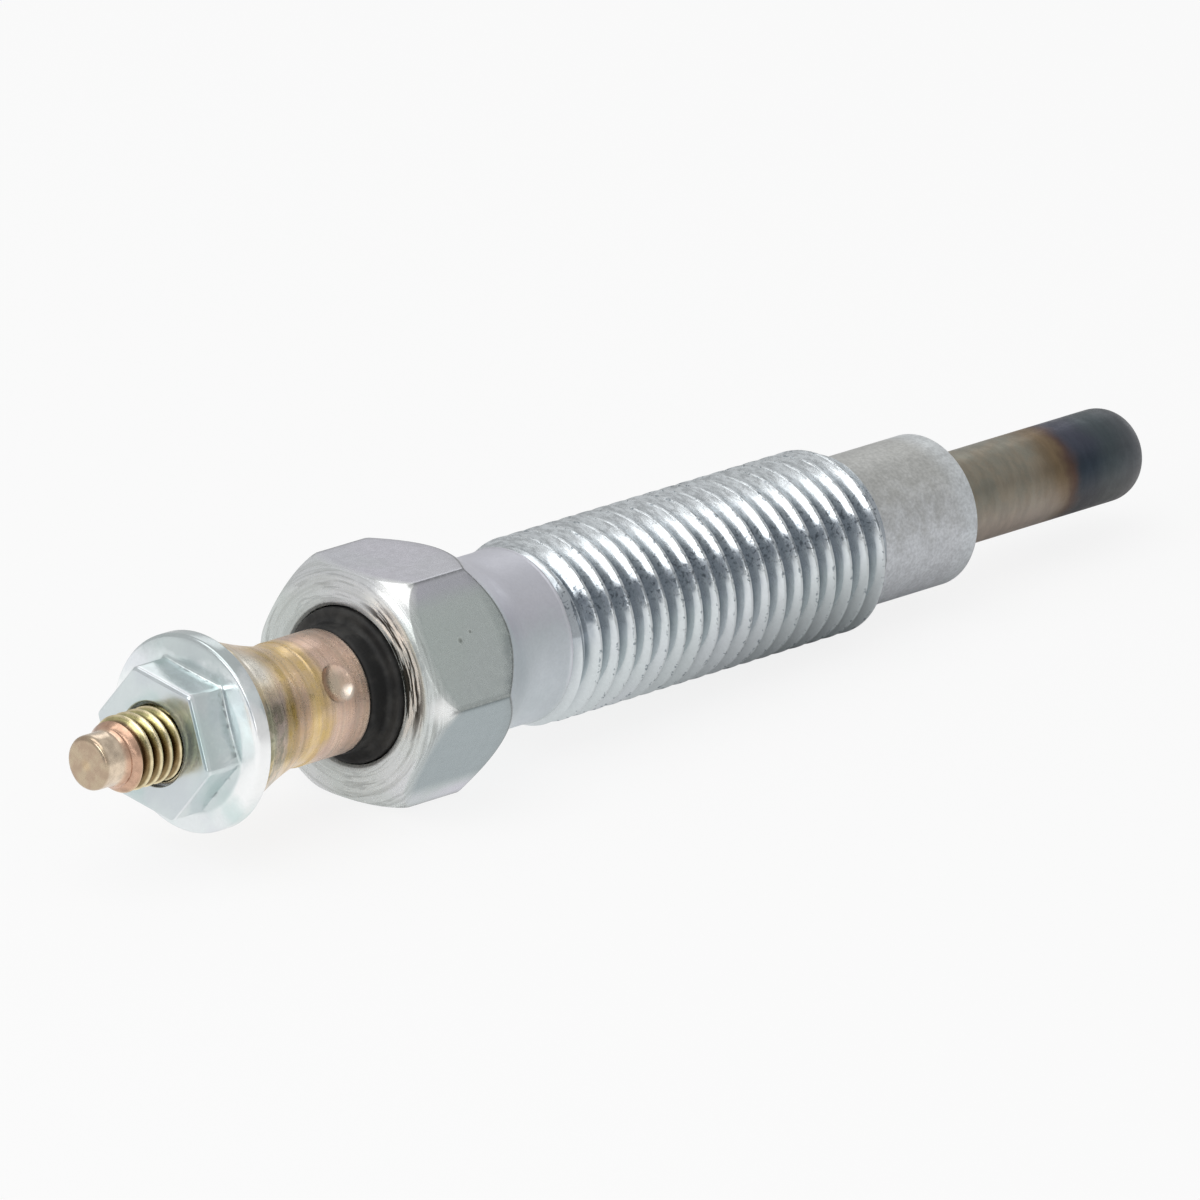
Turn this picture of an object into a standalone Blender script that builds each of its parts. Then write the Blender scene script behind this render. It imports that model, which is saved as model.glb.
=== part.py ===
"""Diesel glow plug, lying as it comes to rest on one spanner flat and on its thread.

Units are metres and +Z is up.  Every piece is modelled on the plug's own axis, the local Z
axis of one empty, with zero at the free end of the terminal stud and the heating tip below
it.  Profiles are lists of (radius, depth), where depth runs from the stud towards the tip.
The empty then lays the plug down along X, tip towards +X.
"""
import math

import bmesh
import bpy
from mathutils import Matrix, Vector

# Facets round a full turn
STEPS = 30
ROD_STEPS = 18
INNER_STEPS = 20

# Clearances between pieces that fit or seat on each other
SEAT_GAP = 0.00005
SLIDE_GAP = 0.00005
BUSH_GAP = 0.00007

# Centre rod: pilot and terminal stud, shank, neck in the sheath and pin for the coil
PILOT_RADIUS = 0.00143
PILOT_LENGTH = 0.0013
PILOT_EDGE = 0.00012
STUD_RADIUS = 0.00198
STUD_PITCH = 0.0007
STUD_LEAD = 0.0009
STUD_THREAD_LENGTH = 0.0058
STUD_PROUD = 0.00465
ROD_RADIUS = 0.00190
ROD_CONE = 0.0009
NECK_RADIUS = 0.00125
NECK_LENGTH = 0.0105
PIN_RADIUS = 0.00088
PIN_LENGTH = 0.0016

# Terminal nut: hexagon with a flange
NUT_ACROSS_FLATS = 0.0070
NUT_HEIGHT = 0.0033
NUT_CORNER_CUT = 0.00022
NUT_CHAMFER_ANGLE = math.radians(30.0)
NUT_FLANGE_RADIUS = 0.00518
NUT_RIM_THICKNESS = 0.0009
NUT_RIM_EDGE = 0.00012
NUT_FLANGE_ANGLE = math.radians(8.0)
NUT_COUNTERSINK = 0.0002
NUT_TURN = math.radians(-9.4)

# Round collar nut, with a flared seat and a staked barrel
COLLAR_HEIGHT = 0.0091
COLLAR_FLARE_RADIUS = 0.00455
COLLAR_FLARE_RIM = 0.0008
COLLAR_BARREL_RADIUS = 0.00328
COLLAR_WAIST_RADIUS = 0.00322
COLLAR_WAIST_DEPTH = 0.0051
COLLAR_FLARE_POWER = 1.3
COLLAR_STEP_DEPTH = 0.0058
COLLAR_EDGE = 0.00012
STAKE_RADIUS = 0.00102
STAKE_DEPTH = 0.00045
STAKE_HEIGHT = 0.0020

# Insulating bush
BUSH_HUB_RADIUS = 0.00335
BUSH_HUB_HEIGHT = 0.0012
BUSH_FLANGE_RADIUS = 0.00408
BUSH_FLANGE_THICKNESS = 0.0020
BUSH_EDGE = 0.00025
BUSH_PROUD = 0.0001
BUSH_SLEEVE_RADIUS = 0.00302
BUSH_SLEEVE_LENGTH = 0.0026

# O-ring round the rod, below the bush
O_RING_SECTION = 0.00053

# Housing, outside
HEX_ACROSS_FLATS = 0.0120
HEX_FACE_MARGIN = 0.00023
HEX_LENGTH = 0.00645
CROWN_RADIUS = 0.0020
CROWN_START = math.radians(66.0)
CROWN_END = math.radians(20.0)
CORNER_ROOM = 0.00005
HEX_REAR_ANGLE = math.radians(32.0)
SHANK_RADIUS = 0.00458
SHANK_END = 0.01225
THREAD_RADIUS = 0.00495
THREAD_PITCH = 0.00125
THREAD_LENGTH = 0.0239
THREAD_LEAD = 0.0007
NOSE_RADIUS = 0.00405
NOSE_LENGTH = 0.0070
NOSE_EDGE = 0.0001
SEAT_HALF_ANGLE = math.radians(46.5)
SEAT_END_RADIUS = 0.00275

# Housing, inside
MOUTH_CHAMFER = 0.0002
AIR_BORE_RADIUS = 0.0023
O_RING_SEAT_ANGLE = math.radians(45.0)
SHEATH_GRIP = 0.0200

# Heater sheath
SHEATH_RADIUS = 0.0025
SHEATH_WALL = 0.0006
SHEATH_PROUD = 0.0143
SHEATH_TIP_RADIUS = 0.0017
SHEATH_FLOOR = 0.0009
SHEATH_EDGE = 0.00015

# Inside the sheath
SEAL_LENGTH = 0.0030
COIL_RADIUS = 0.00115
WIRE_RADIUS = 0.000175
COIL_CLEARANCE = 0.00008
CONTROL_COIL_TURNS = 7
CONTROL_COIL_PITCH = 0.0013
HEATING_COIL_PITCH = 0.0012
COIL_POINTS = 8
COIL_TAIL = 0.0009
TAIL_HOLE_RADIUS = 0.00027

# Thread form: sixty degrees, an eighth of the pitch flat on the crest
HALF_FLANK = math.radians(30.0)
CREST_SHARE = 0.125
THREAD_DEPTH_SHARE = 0.61
CUTTER_PROUD_SHARE = 0.08

# Places along the axis, each from the one before it
NUT_TOP = STUD_PROUD
COLLAR_TOP = NUT_TOP + NUT_HEIGHT + SEAT_GAP
BUSH_TOP = COLLAR_TOP + COLLAR_HEIGHT + SEAT_GAP
HEX_FACE = BUSH_TOP + BUSH_HUB_HEIGHT + BUSH_PROUD
BUSH_FLANGE_END = BUSH_TOP + BUSH_HUB_HEIGHT + BUSH_FLANGE_THICKNESS
BUSH_END = BUSH_FLANGE_END + BUSH_SLEEVE_LENGTH
O_RING_CENTRE = BUSH_END + SEAT_GAP + O_RING_SECTION
THREAD_START = HEX_FACE + SHANK_END
THREAD_END = THREAD_START + THREAD_LENGTH
THREAD_FULL_END = THREAD_END - THREAD_LEAD
NOSE_END = THREAD_END + NOSE_LENGTH
HOUSING_END = NOSE_END + (NOSE_RADIUS - SEAT_END_RADIUS) / math.tan(SEAT_HALF_ANGLE)
SHEATH_TOP = HOUSING_END - SHEATH_GRIP
SHEATH_TIP = HOUSING_END + SHEATH_PROUD
SHEATH_BOTTOM = SHEATH_TIP - SHEATH_FLOOR
SEAL_TOP = SHEATH_TOP + SEAT_GAP
SEAL_END = SEAL_TOP + SEAL_LENGTH
NECK_START = SEAL_TOP - ROD_CONE
NECK_END = NECK_START + ROD_CONE + NECK_LENGTH
PIN_END = NECK_END + PIN_LENGTH

# Radii that follow from the fits
SHEATH_BORE = SHEATH_RADIUS - SHEATH_WALL
NUT_BORE = STUD_RADIUS + SLIDE_GAP
O_RING_RADIUS = ROD_RADIUS + SLIDE_GAP + O_RING_SECTION
SEAL_BORE = O_RING_RADIUS + O_RING_SECTION + SLIDE_GAP
COUNTERBORE_RADIUS = BUSH_FLANGE_RADIUS + BUSH_GAP
COUNTERBORE_END = BUSH_FLANGE_END + SEAT_GAP
FILLING_RADIUS = SHEATH_BORE - SLIDE_GAP
CAVITY_INNER = COIL_RADIUS - WIRE_RADIUS - COIL_CLEARANCE
CAVITY_OUTER = COIL_RADIUS + WIRE_RADIUS + COIL_CLEARANCE

# The plug rests on the rear end of one spanner flat and on the last full crest of its thread
FLAT_REAR = HEX_FACE + HEX_LENGTH
REST_TILT = math.atan2(HEX_ACROSS_FLATS / 2 - THREAD_RADIUS, THREAD_FULL_END - FLAT_REAR)
AXIS_HEIGHT = FLAT_REAR * math.sin(REST_TILT) + HEX_ACROSS_FLATS / 2 * math.cos(REST_TILT)
BACK_END = -PILOT_RADIUS * math.sin(REST_TILT)
FRONT_END = SHEATH_TIP * math.cos(REST_TILT)
AXIS_START = -(BACK_END + FRONT_END) / 2

# Direction of the spanner flat that carries the stake mark, measured from straight up
STAKE_DIRECTION = math.radians(-60.0)


def clear_scene():
    """Remove every object, mesh, curve and collection that the scene starts with."""
    for obj in list(bpy.data.objects):
        bpy.data.objects.remove(obj, do_unlink=True)
    for mesh in list(bpy.data.meshes):
        bpy.data.meshes.remove(mesh)
    for curve in list(bpy.data.curves):
        bpy.data.curves.remove(curve)
    for collection in list(bpy.data.collections):
        bpy.data.collections.remove(collection)


def new_collection(name):
    collection = bpy.data.collections.new(name)
    bpy.context.scene.collection.children.link(collection)
    return collection


def metal(name, colour, roughness, metallic=1.0):
    """A plain Principled BSDF with its colour, roughness and metallic value."""
    material = bpy.data.materials.new(name)
    material.use_nodes = True
    shader = material.node_tree.nodes["Principled BSDF"]
    shader.inputs["Base Color"].default_value = (*colour, 1.0)
    shader.inputs["Roughness"].default_value = roughness
    shader.inputs["Metallic"].default_value = metallic
    return material


def arc(radius, depth, size, start, end, count):
    """Points on a circle about (radius, depth); zero points outwards and a right angle down."""
    points = []
    for step in range(count + 1):
        angle = start + (end - start) * step / count
        points.append((radius + size * math.cos(angle), depth + size * math.sin(angle)))
    return points


def outline_mesh(name, profile, closed):
    """An edge mesh in the XZ plane through the (radius, depth) points of a profile."""
    mesh = bpy.data.meshes.new(name)
    points = [(radius, 0.0, -depth) for radius, depth in profile]
    edges = [(i, i + 1) for i in range(len(points) - 1)]
    if closed:
        edges.append((len(points) - 1, 0))
    mesh.from_pydata(points, edges, [])
    return mesh


def add_screw(obj, steps, turns=1, pitch=0.0):
    screw = obj.modifiers.new("turn", "SCREW")
    screw.axis = "Z"
    screw.angle = math.tau
    screw.steps = steps
    screw.render_steps = steps
    screw.iterations = turns
    screw.screw_offset = pitch
    screw.use_merge_vertices = turns == 1
    screw.merge_threshold = 0.000001
    screw.use_smooth_shade = True


def turned(name, profile, steps=STEPS):
    """A turned solid: a profile that ends on the axis twice, or a closed ring section."""
    on_axis = profile[0][0] == 0.0 and profile[-1][0] == 0.0
    obj = bpy.data.objects.new(name, outline_mesh(name, profile, not on_axis))
    add_screw(obj, steps)
    return obj


def hexagon(name, across_flats, top, bottom, turn=0.0):
    """A hexagonal bar about the axis, one flat facing the direction given by turn."""
    mesh = bpy.data.meshes.new(name)
    bm = bmesh.new()
    radius = across_flats / math.sqrt(3.0)
    placed = Matrix.Translation((0.0, 0.0, -(top + bottom) / 2))
    placed = placed @ Matrix.Rotation(turn, 4, "Z")
    bmesh.ops.create_cone(
        bm, cap_ends=True, segments=6, radius1=radius, radius2=radius,
        depth=bottom - top, matrix=placed)
    bmesh.ops.recalc_face_normals(bm, faces=bm.faces)
    bm.to_mesh(mesh)
    bm.free()
    return bpy.data.objects.new(name, mesh)


def realised(obj):
    """A new mesh object with the modifiers of obj worked in; obj is removed."""
    bpy.context.view_layer.update()
    graph = bpy.context.evaluated_depsgraph_get()
    mesh = bpy.data.meshes.new_from_object(obj.evaluated_get(graph))
    name = obj.name
    place = obj.matrix_world.copy()
    bpy.data.objects.remove(obj, do_unlink=True)
    solid = bpy.data.objects.new(name, mesh)
    solid.matrix_world = place
    return solid


def close_ends(obj):
    """Fill the open ends of a swept tube, so that it is one closed body."""
    bm = bmesh.new()
    bm.from_mesh(obj.data)
    bmesh.ops.remove_doubles(bm, verts=bm.verts, dist=0.000001)
    ends = [edge for edge in bm.edges if edge.is_boundary]
    bmesh.ops.holes_fill(bm, edges=ends, sides=0)
    bmesh.ops.recalc_face_normals(bm, faces=bm.faces)
    bm.to_mesh(obj.data)
    bm.free()


def thread_groove(name, crest_radius, pitch, last_crest, top_limit, steps, collection):
    """The space between the turns of a right-hand thread, as one closed helical cutter.

    last_crest is the depth of the middle of the last crest straight below the axis, and
    the groove runs from just past it up to the first whole turn below top_limit.
    """
    root_radius = crest_radius - THREAD_DEPTH_SHARE * pitch
    outer_radius = crest_radius + CUTTER_PROUD_SHARE * pitch
    crest_width = CREST_SHARE * pitch
    half_crest = (pitch - crest_width) / 2
    half_root = half_crest - (crest_radius - root_radius) * math.tan(HALF_FLANK)
    half_outer = half_crest + (outer_radius - crest_radius) * math.tan(HALF_FLANK)
    start_angle = math.tau * round(steps / 4) / steps
    bottom = last_crest + pitch * 1.5 + pitch * (math.pi - start_angle) / math.tau
    turns = int((bottom - half_outer - top_limit) / pitch)
    section = [
        (outer_radius, bottom - half_outer),
        (outer_radius, bottom + half_outer),
        (root_radius, bottom + half_root),
        (root_radius, bottom - half_root),
    ]
    groove = bpy.data.objects.new(name, outline_mesh(name, section, True))
    add_screw(groove, steps, turns, pitch)
    collection.objects.link(groove)
    groove = realised(groove)
    close_ends(groove)
    groove.rotation_euler.z = start_angle
    return groove


class Assembly:
    """Keeps the collections, the empty that lays the plug down, and the cutters."""

    def __init__(self):
        self.parts = new_collection("glow_plug")
        self.cutters = new_collection("cutters")
        self.axis = bpy.data.objects.new("plug_axis", None)
        self.axis.empty_display_size = SHEATH_RADIUS
        self.axis.location = (AXIS_START, 0.0, AXIS_HEIGHT)
        self.axis.rotation_euler.y = REST_TILT - math.pi / 2
        self.parts.objects.link(self.axis)

    def add_part(self, obj, material):
        self.parts.objects.link(obj)
        obj.parent = self.axis
        obj.data.materials.clear()
        obj.data.materials.append(material)
        return obj

    def add_cutter(self, obj):
        self.cutters.objects.link(obj)
        obj.parent = self.axis
        obj.hide_render = True
        obj.display_type = "WIRE"
        return obj

    def shape(self, obj, operation, cutter):
        """Give obj one Boolean modifier with a cutter or a second blank."""
        boolean = obj.modifiers.new(cutter.name, "BOOLEAN")
        boolean.operation = operation
        boolean.object = self.add_cutter(cutter)
        boolean.solver = "EXACT"


def make_housing(plug, material):
    """One steel bar of hexagonal stock, turned, bored and threaded."""
    hex_half = HEX_ACROSS_FLATS / 2
    hex_corner = HEX_ACROSS_FLATS / math.sqrt(3.0)
    rear_slope = math.tan(HEX_REAR_ANGLE)
    crown_depth = HEX_FACE + CROWN_RADIUS * math.sin(CROWN_START)
    crown_centre = hex_half - HEX_FACE_MARGIN - CROWN_RADIUS * math.cos(CROWN_START)
    crown_edge = crown_centre + CROWN_RADIUS * math.cos(CROWN_END)
    crown_end = crown_depth - CROWN_RADIUS * math.sin(CROWN_END)
    widest = hex_corner / math.cos(math.pi / STEPS) + CORNER_ROOM
    seat_drop = (SEAL_BORE - AIR_BORE_RADIUS) / math.tan(O_RING_SEAT_ANGLE)
    seat_top = O_RING_CENTRE + O_RING_SECTION + SEAT_GAP
    sheath_hole = SHEATH_RADIUS + SLIDE_GAP
    outside = [(COUNTERBORE_RADIUS + MOUTH_CHAMFER, HEX_FACE)]
    outside += arc(crown_centre, crown_depth, CROWN_RADIUS, -CROWN_START, -CROWN_END, 5)
    outside += [
        (widest, crown_end + (widest - crown_edge) / math.tan(CROWN_END)),
        (widest, FLAT_REAR - (widest - hex_half) / rear_slope),
        (SHANK_RADIUS, FLAT_REAR + (hex_half - SHANK_RADIUS) / rear_slope),
        (SHANK_RADIUS, THREAD_START),
        (THREAD_RADIUS, THREAD_START + THREAD_LEAD),
        (THREAD_RADIUS, THREAD_FULL_END),
        (NOSE_RADIUS, THREAD_END),
        (NOSE_RADIUS, NOSE_END - NOSE_EDGE),
        (NOSE_RADIUS - NOSE_EDGE, NOSE_END),
        (SEAT_END_RADIUS, HOUSING_END),
    ]
    inside = [
        (sheath_hole, HOUSING_END),
        (sheath_hole, SHEATH_TOP - SEAT_GAP),
        (AIR_BORE_RADIUS, SHEATH_TOP - SEAT_GAP),
        (AIR_BORE_RADIUS, seat_top + seat_drop),
        (SEAL_BORE, seat_top),
        (SEAL_BORE, COUNTERBORE_END),
        (COUNTERBORE_RADIUS, COUNTERBORE_END),
        (COUNTERBORE_RADIUS, HEX_FACE + MOUTH_CHAMFER),
    ]
    housing = plug.add_part(turned("housing", outside + inside), material)
    stock_end = NOSE_END + hex_corner
    stock = hexagon("hexagonal_stock", HEX_ACROSS_FLATS, HEX_FACE - hex_half, stock_end)
    plug.shape(housing, "INTERSECT", stock)
    last_crest = THREAD_FULL_END - CREST_SHARE * THREAD_PITCH / 2
    groove = thread_groove(
        "housing_thread_groove", THREAD_RADIUS, THREAD_PITCH, last_crest,
        THREAD_START, STEPS, plug.cutters)
    plug.shape(housing, "DIFFERENCE", groove)
    return housing


def make_centre_rod(plug, material):
    """Terminal stud with its pilot, long shank, neck in the sheath and pin for the coil."""
    stud_end = BUSH_TOP - SEAT_GAP
    profile = [
        (0.0, 0.0),
        (PILOT_RADIUS - PILOT_EDGE, 0.0),
        (PILOT_RADIUS, PILOT_EDGE),
        (PILOT_RADIUS, PILOT_LENGTH),
        (STUD_RADIUS, PILOT_LENGTH + STUD_LEAD),
        (STUD_RADIUS, stud_end),
        (ROD_RADIUS, stud_end + STUD_RADIUS - ROD_RADIUS),
        (ROD_RADIUS, NECK_START),
        (NECK_RADIUS, NECK_START + ROD_CONE),
        (NECK_RADIUS, NECK_END),
        (PIN_RADIUS, NECK_END),
        (PIN_RADIUS, PIN_END),
        (0.0, PIN_END),
    ]
    rod = plug.add_part(turned("centre_rod", profile, ROD_STEPS), material)
    groove = thread_groove(
        "stud_thread_groove", STUD_RADIUS, STUD_PITCH, PILOT_LENGTH + STUD_THREAD_LENGTH,
        PILOT_LENGTH - STUD_PITCH, ROD_STEPS, plug.cutters)
    plug.shape(rod, "DIFFERENCE", groove)
    return rod


def make_terminal_nut(plug, material):
    """Hexagonal head with its corners chamfered, on a round flange with a conical top."""
    corner = NUT_ACROSS_FLATS / math.sqrt(3.0)
    widest = corner / math.cos(math.pi / STEPS) + CORNER_ROOM
    face_radius = corner - NUT_CORNER_CUT
    bottom = NUT_TOP + NUT_HEIGHT
    rim_top = bottom - NUT_RIM_THICKNESS
    chamfer_drop = (widest - face_radius) * math.tan(NUT_CHAMFER_ANGLE)
    cone_rise = (NUT_FLANGE_RADIUS - NUT_RIM_EDGE) * math.tan(NUT_FLANGE_ANGLE)
    head_end = bottom - NUT_RIM_THICKNESS / 2
    turn = STAKE_DIRECTION + NUT_TURN
    nut = hexagon("terminal_flange_nut", NUT_ACROSS_FLATS, NUT_TOP, head_end, turn)
    plug.add_part(nut, material)
    crown = turned("nut_crown", [
        (0.0, NUT_TOP),
        (face_radius, NUT_TOP),
        (widest, NUT_TOP + chamfer_drop),
        (widest, bottom),
        (0.0, bottom),
    ])
    plug.shape(nut, "INTERSECT", crown)
    flange = turned("nut_flange", [
        (0.0, rim_top - cone_rise),
        (NUT_FLANGE_RADIUS - NUT_RIM_EDGE, rim_top),
        (NUT_FLANGE_RADIUS, rim_top + NUT_RIM_EDGE),
        (NUT_FLANGE_RADIUS, bottom),
        (0.0, bottom),
    ])
    plug.shape(nut, "UNION", flange)
    bore = turned("nut_bore", [
        (0.0, NUT_TOP - NUT_BORE),
        (NUT_BORE + NUT_COUNTERSINK, NUT_TOP - NUT_BORE),
        (NUT_BORE + NUT_COUNTERSINK, NUT_TOP),
        (NUT_BORE, NUT_TOP + NUT_COUNTERSINK),
        (NUT_BORE, bottom + NUT_BORE),
        (0.0, bottom + NUT_BORE),
    ], ROD_STEPS)
    plug.shape(nut, "DIFFERENCE", bore)
    return nut


def make_collar_nut(plug, material):
    """Round nut: flared seat, hollow flank, barrel, and two punch marks that stake it."""
    flare_end = COLLAR_TOP + COLLAR_FLARE_RIM
    waist = COLLAR_TOP + COLLAR_WAIST_DEPTH
    step = COLLAR_TOP + COLLAR_STEP_DEPTH
    bottom = COLLAR_TOP + COLLAR_HEIGHT
    flank = []
    flank_points = 5
    for i in range(1, flank_points + 1):
        left = 1.0 - i / flank_points
        flare = (COLLAR_FLARE_RADIUS - COLLAR_WAIST_RADIUS) * left ** COLLAR_FLARE_POWER
        flank.append((COLLAR_WAIST_RADIUS + flare, waist - (waist - flare_end) * left))
    collar = plug.add_part(turned("round_collar_nut", [
        (COLLAR_FLARE_RADIUS, COLLAR_TOP),
        (COLLAR_FLARE_RADIUS, flare_end),
        *flank,
        (COLLAR_WAIST_RADIUS, step - COLLAR_EDGE),
        (COLLAR_BARREL_RADIUS, step),
        (COLLAR_BARREL_RADIUS, bottom - COLLAR_EDGE),
        (COLLAR_BARREL_RADIUS - COLLAR_EDGE, bottom),
        (NUT_BORE, bottom),
        (NUT_BORE, COLLAR_TOP),
    ]), material)
    ball = (STAKE_RADIUS ** 2 + STAKE_DEPTH ** 2) / (2 * STAKE_DEPTH)
    reach = COLLAR_BARREL_RADIUS - STAKE_DEPTH + ball
    directions = {"front_punch": STAKE_DIRECTION, "rear_punch": STAKE_DIRECTION + math.pi}
    for name, direction in directions.items():
        mesh = bpy.data.meshes.new(name)
        bm = bmesh.new()
        bmesh.ops.create_icosphere(bm, subdivisions=2, radius=ball)
        bm.to_mesh(mesh)
        bm.free()
        punch = bpy.data.objects.new(name, mesh)
        punch.location = Matrix.Rotation(direction, 3, "Z") @ Vector((reach, 0.0, 0.0))
        punch.location.z = STAKE_HEIGHT - bottom
        plug.shape(collar, "DIFFERENCE", punch)
    return collar


def make_bush(plug, material):
    """Insulating bush: hub under the collar nut, flange in the counterbore, sleeve below."""
    flange_face = BUSH_TOP + BUSH_HUB_HEIGHT
    bore = STUD_RADIUS + BUSH_GAP
    return plug.add_part(turned("insulating_bush", [
        (BUSH_HUB_RADIUS, BUSH_TOP),
        (BUSH_HUB_RADIUS, flange_face),
        (BUSH_FLANGE_RADIUS - BUSH_EDGE, flange_face),
        (BUSH_FLANGE_RADIUS, flange_face + BUSH_EDGE),
        (BUSH_FLANGE_RADIUS, BUSH_FLANGE_END),
        (BUSH_SLEEVE_RADIUS, BUSH_FLANGE_END),
        (BUSH_SLEEVE_RADIUS, BUSH_END),
        (bore, BUSH_END),
        (bore, BUSH_TOP),
    ]), material)


def make_o_ring(plug, material):
    """Round ring; its section starts and ends on the same point, which is kept once."""
    section = arc(O_RING_RADIUS, O_RING_CENTRE, O_RING_SECTION, -math.pi, math.pi, 8)
    return plug.add_part(turned("o_ring", section[:-1], INNER_STEPS), material)


def make_sheath(plug, material):
    """Tube with a rounded, closed tip, open at its upper end."""
    outer_flat = SHEATH_RADIUS - SHEATH_TIP_RADIUS
    inner_round = SHEATH_BORE - outer_flat
    quarter = math.pi / 2
    inner_turn = arc(outer_flat, SHEATH_BOTTOM - inner_round, inner_round, quarter, 0.0, 3)
    outer_turn = arc(outer_flat, SHEATH_TIP - SHEATH_TIP_RADIUS, SHEATH_TIP_RADIUS, 0.0, quarter, 5)
    return plug.add_part(turned("heater_sheath", [
        (0.0, SHEATH_BOTTOM),
        *inner_turn,
        (SHEATH_BORE, SHEATH_TOP),
        (SHEATH_RADIUS - SHEATH_EDGE, SHEATH_TOP),
        (SHEATH_RADIUS, SHEATH_TOP + SHEATH_EDGE),
        *outer_turn,
        (0.0, SHEATH_TIP),
    ]), material)


def make_sheath_seal(plug, material):
    inner = NECK_RADIUS + SLIDE_GAP
    outer = SHEATH_BORE - SLIDE_GAP
    return plug.add_part(turned("sheath_seal", [
        (outer, SEAL_TOP),
        (outer, SEAL_END),
        (inner, SEAL_END),
        (inner, SEAL_TOP),
    ], INNER_STEPS), material)


def cavity_end():
    """Depth of the floor of the ring-shaped space that the coils fill."""
    return SHEATH_BOTTOM - COIL_TAIL


def make_filling(plug, material):
    """Packed powder: a sleeve round the coils and a core within them, joined at the tip."""
    outer_flat = SHEATH_RADIUS - SHEATH_TIP_RADIUS
    inner_round = FILLING_RADIUS - outer_flat
    bottom = SHEATH_BOTTOM - SEAT_GAP
    rod_bore = NECK_RADIUS + SLIDE_GAP
    top = SEAL_END + SEAT_GAP
    turn = arc(outer_flat, bottom - inner_round, inner_round, 0.0, math.pi / 2, 3)
    filling = plug.add_part(turned("magnesia_filling", [
        (0.0, PIN_END + SEAT_GAP),
        (CAVITY_INNER, PIN_END + SEAT_GAP),
        (CAVITY_INNER, cavity_end()),
        (CAVITY_OUTER, cavity_end()),
        (CAVITY_OUTER, NECK_END + SEAT_GAP),
        (rod_bore, NECK_END + SEAT_GAP),
        (rod_bore, top),
        (FILLING_RADIUS, top),
        *turn,
        (0.0, bottom),
    ], INNER_STEPS), material)
    hole = turned("coil_tail_hole", [
        (0.0, cavity_end() - COIL_TAIL),
        (TAIL_HOLE_RADIUS, cavity_end() - COIL_TAIL),
        (TAIL_HOLE_RADIUS, SHEATH_BOTTOM + COIL_TAIL),
        (0.0, SHEATH_BOTTOM + COIL_TAIL),
    ], COIL_POINTS)
    hole.location.x = COIL_RADIUS
    plug.shape(filling, "DIFFERENCE", hole)
    return filling


def make_coil(plug, name, material, top, turns, pitch, tail):
    """Round wire wound on a helix, made a mesh with welded end caps."""
    curve = bpy.data.curves.new(name, "CURVE")
    curve.dimensions = "3D"
    curve.bevel_depth = WIRE_RADIUS
    curve.bevel_resolution = 2
    curve.use_fill_caps = True
    points = []
    for i in range(turns * COIL_POINTS + 1):
        angle = math.tau * i / COIL_POINTS
        depth = top + pitch * i / COIL_POINTS
        points.append((COIL_RADIUS * math.cos(angle), -COIL_RADIUS * math.sin(angle), -depth))
    if tail > 0.0:
        points.append((COIL_RADIUS, 0.0, points[-1][2] - tail))
    spline = curve.splines.new("POLY")
    spline.points.add(len(points) - 1)
    for point, place in zip(spline.points, points):
        point.co = (*place, 1.0)
    wire = bpy.data.objects.new(name, curve)
    plug.cutters.objects.link(wire)
    coil = realised(wire)
    close_ends(coil)
    bpy.data.curves.remove(curve)
    return plug.add_part(coil, material)


def make_coils(plug, control_material, heating_material):
    """The control coil starts on the rod's pin and the heating coil ends at the tip."""
    top = NECK_END + SEAT_GAP + WIRE_RADIUS + COIL_CLEARANCE
    control_end = top + CONTROL_COIL_TURNS * CONTROL_COIL_PITCH
    heating_top = control_end + 2 * WIRE_RADIUS + SEAT_GAP
    heating_room = cavity_end() - WIRE_RADIUS - COIL_CLEARANCE - heating_top
    heating_turns = int(heating_room / HEATING_COIL_PITCH)
    heating_end = heating_top + heating_turns * HEATING_COIL_PITCH
    tail = SHEATH_BOTTOM - 2 * (SEAT_GAP + WIRE_RADIUS / 2) - heating_end
    make_coil(plug, "control_coil", control_material, top, CONTROL_COIL_TURNS, CONTROL_COIL_PITCH, 0.0)
    make_coil(plug, "heating_coil", heating_material, heating_top, heating_turns, HEATING_COIL_PITCH, tail)


def build():
    clear_scene()
    plug = Assembly()
    zinc = metal("zinc_plate", (0.62, 0.64, 0.66), 0.32)
    bright_zinc = metal("bright_zinc_plate", (0.78, 0.81, 0.84), 0.25)
    yellow_zinc = metal("yellow_zinc_plate", (0.62, 0.50, 0.36), 0.33)
    rod_steel = metal("rod_steel", (0.60, 0.56, 0.50), 0.38)
    heat_alloy = metal("heat_tinted_alloy", (0.30, 0.27, 0.25), 0.40)
    black_plastic = metal("black_moulding", (0.02, 0.02, 0.02), 0.55, 0.0)
    rubber = metal("black_rubber", (0.03, 0.03, 0.03), 0.70, 0.0)
    powder = metal("white_powder", (0.80, 0.79, 0.76), 0.90, 0.0)
    nickel_wire = metal("nickel_wire", (0.55, 0.53, 0.50), 0.35)
    heating_wire = metal("heating_wire", (0.45, 0.43, 0.42), 0.45)
    make_housing(plug, zinc)
    make_centre_rod(plug, rod_steel)
    make_terminal_nut(plug, bright_zinc)
    make_collar_nut(plug, yellow_zinc)
    make_bush(plug, black_plastic)
    make_o_ring(plug, rubber)
    make_sheath(plug, heat_alloy)
    make_sheath_seal(plug, rubber)
    make_filling(plug, powder)
    make_coils(plug, nickel_wire, heating_wire)


build()
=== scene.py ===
"""Diesel glow plug: fine surfaces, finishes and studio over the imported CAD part.

Every new piece is a surface about the plug's axis.  A point on it has a depth along the
axis, counted from the free end of the terminal stud, a turn angle about the axis with zero
straight up, and a radius.  Units are metres and +Z is up.  The finishes alone count in
millimetres, from the same end of the same axis.
"""
import math

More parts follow.
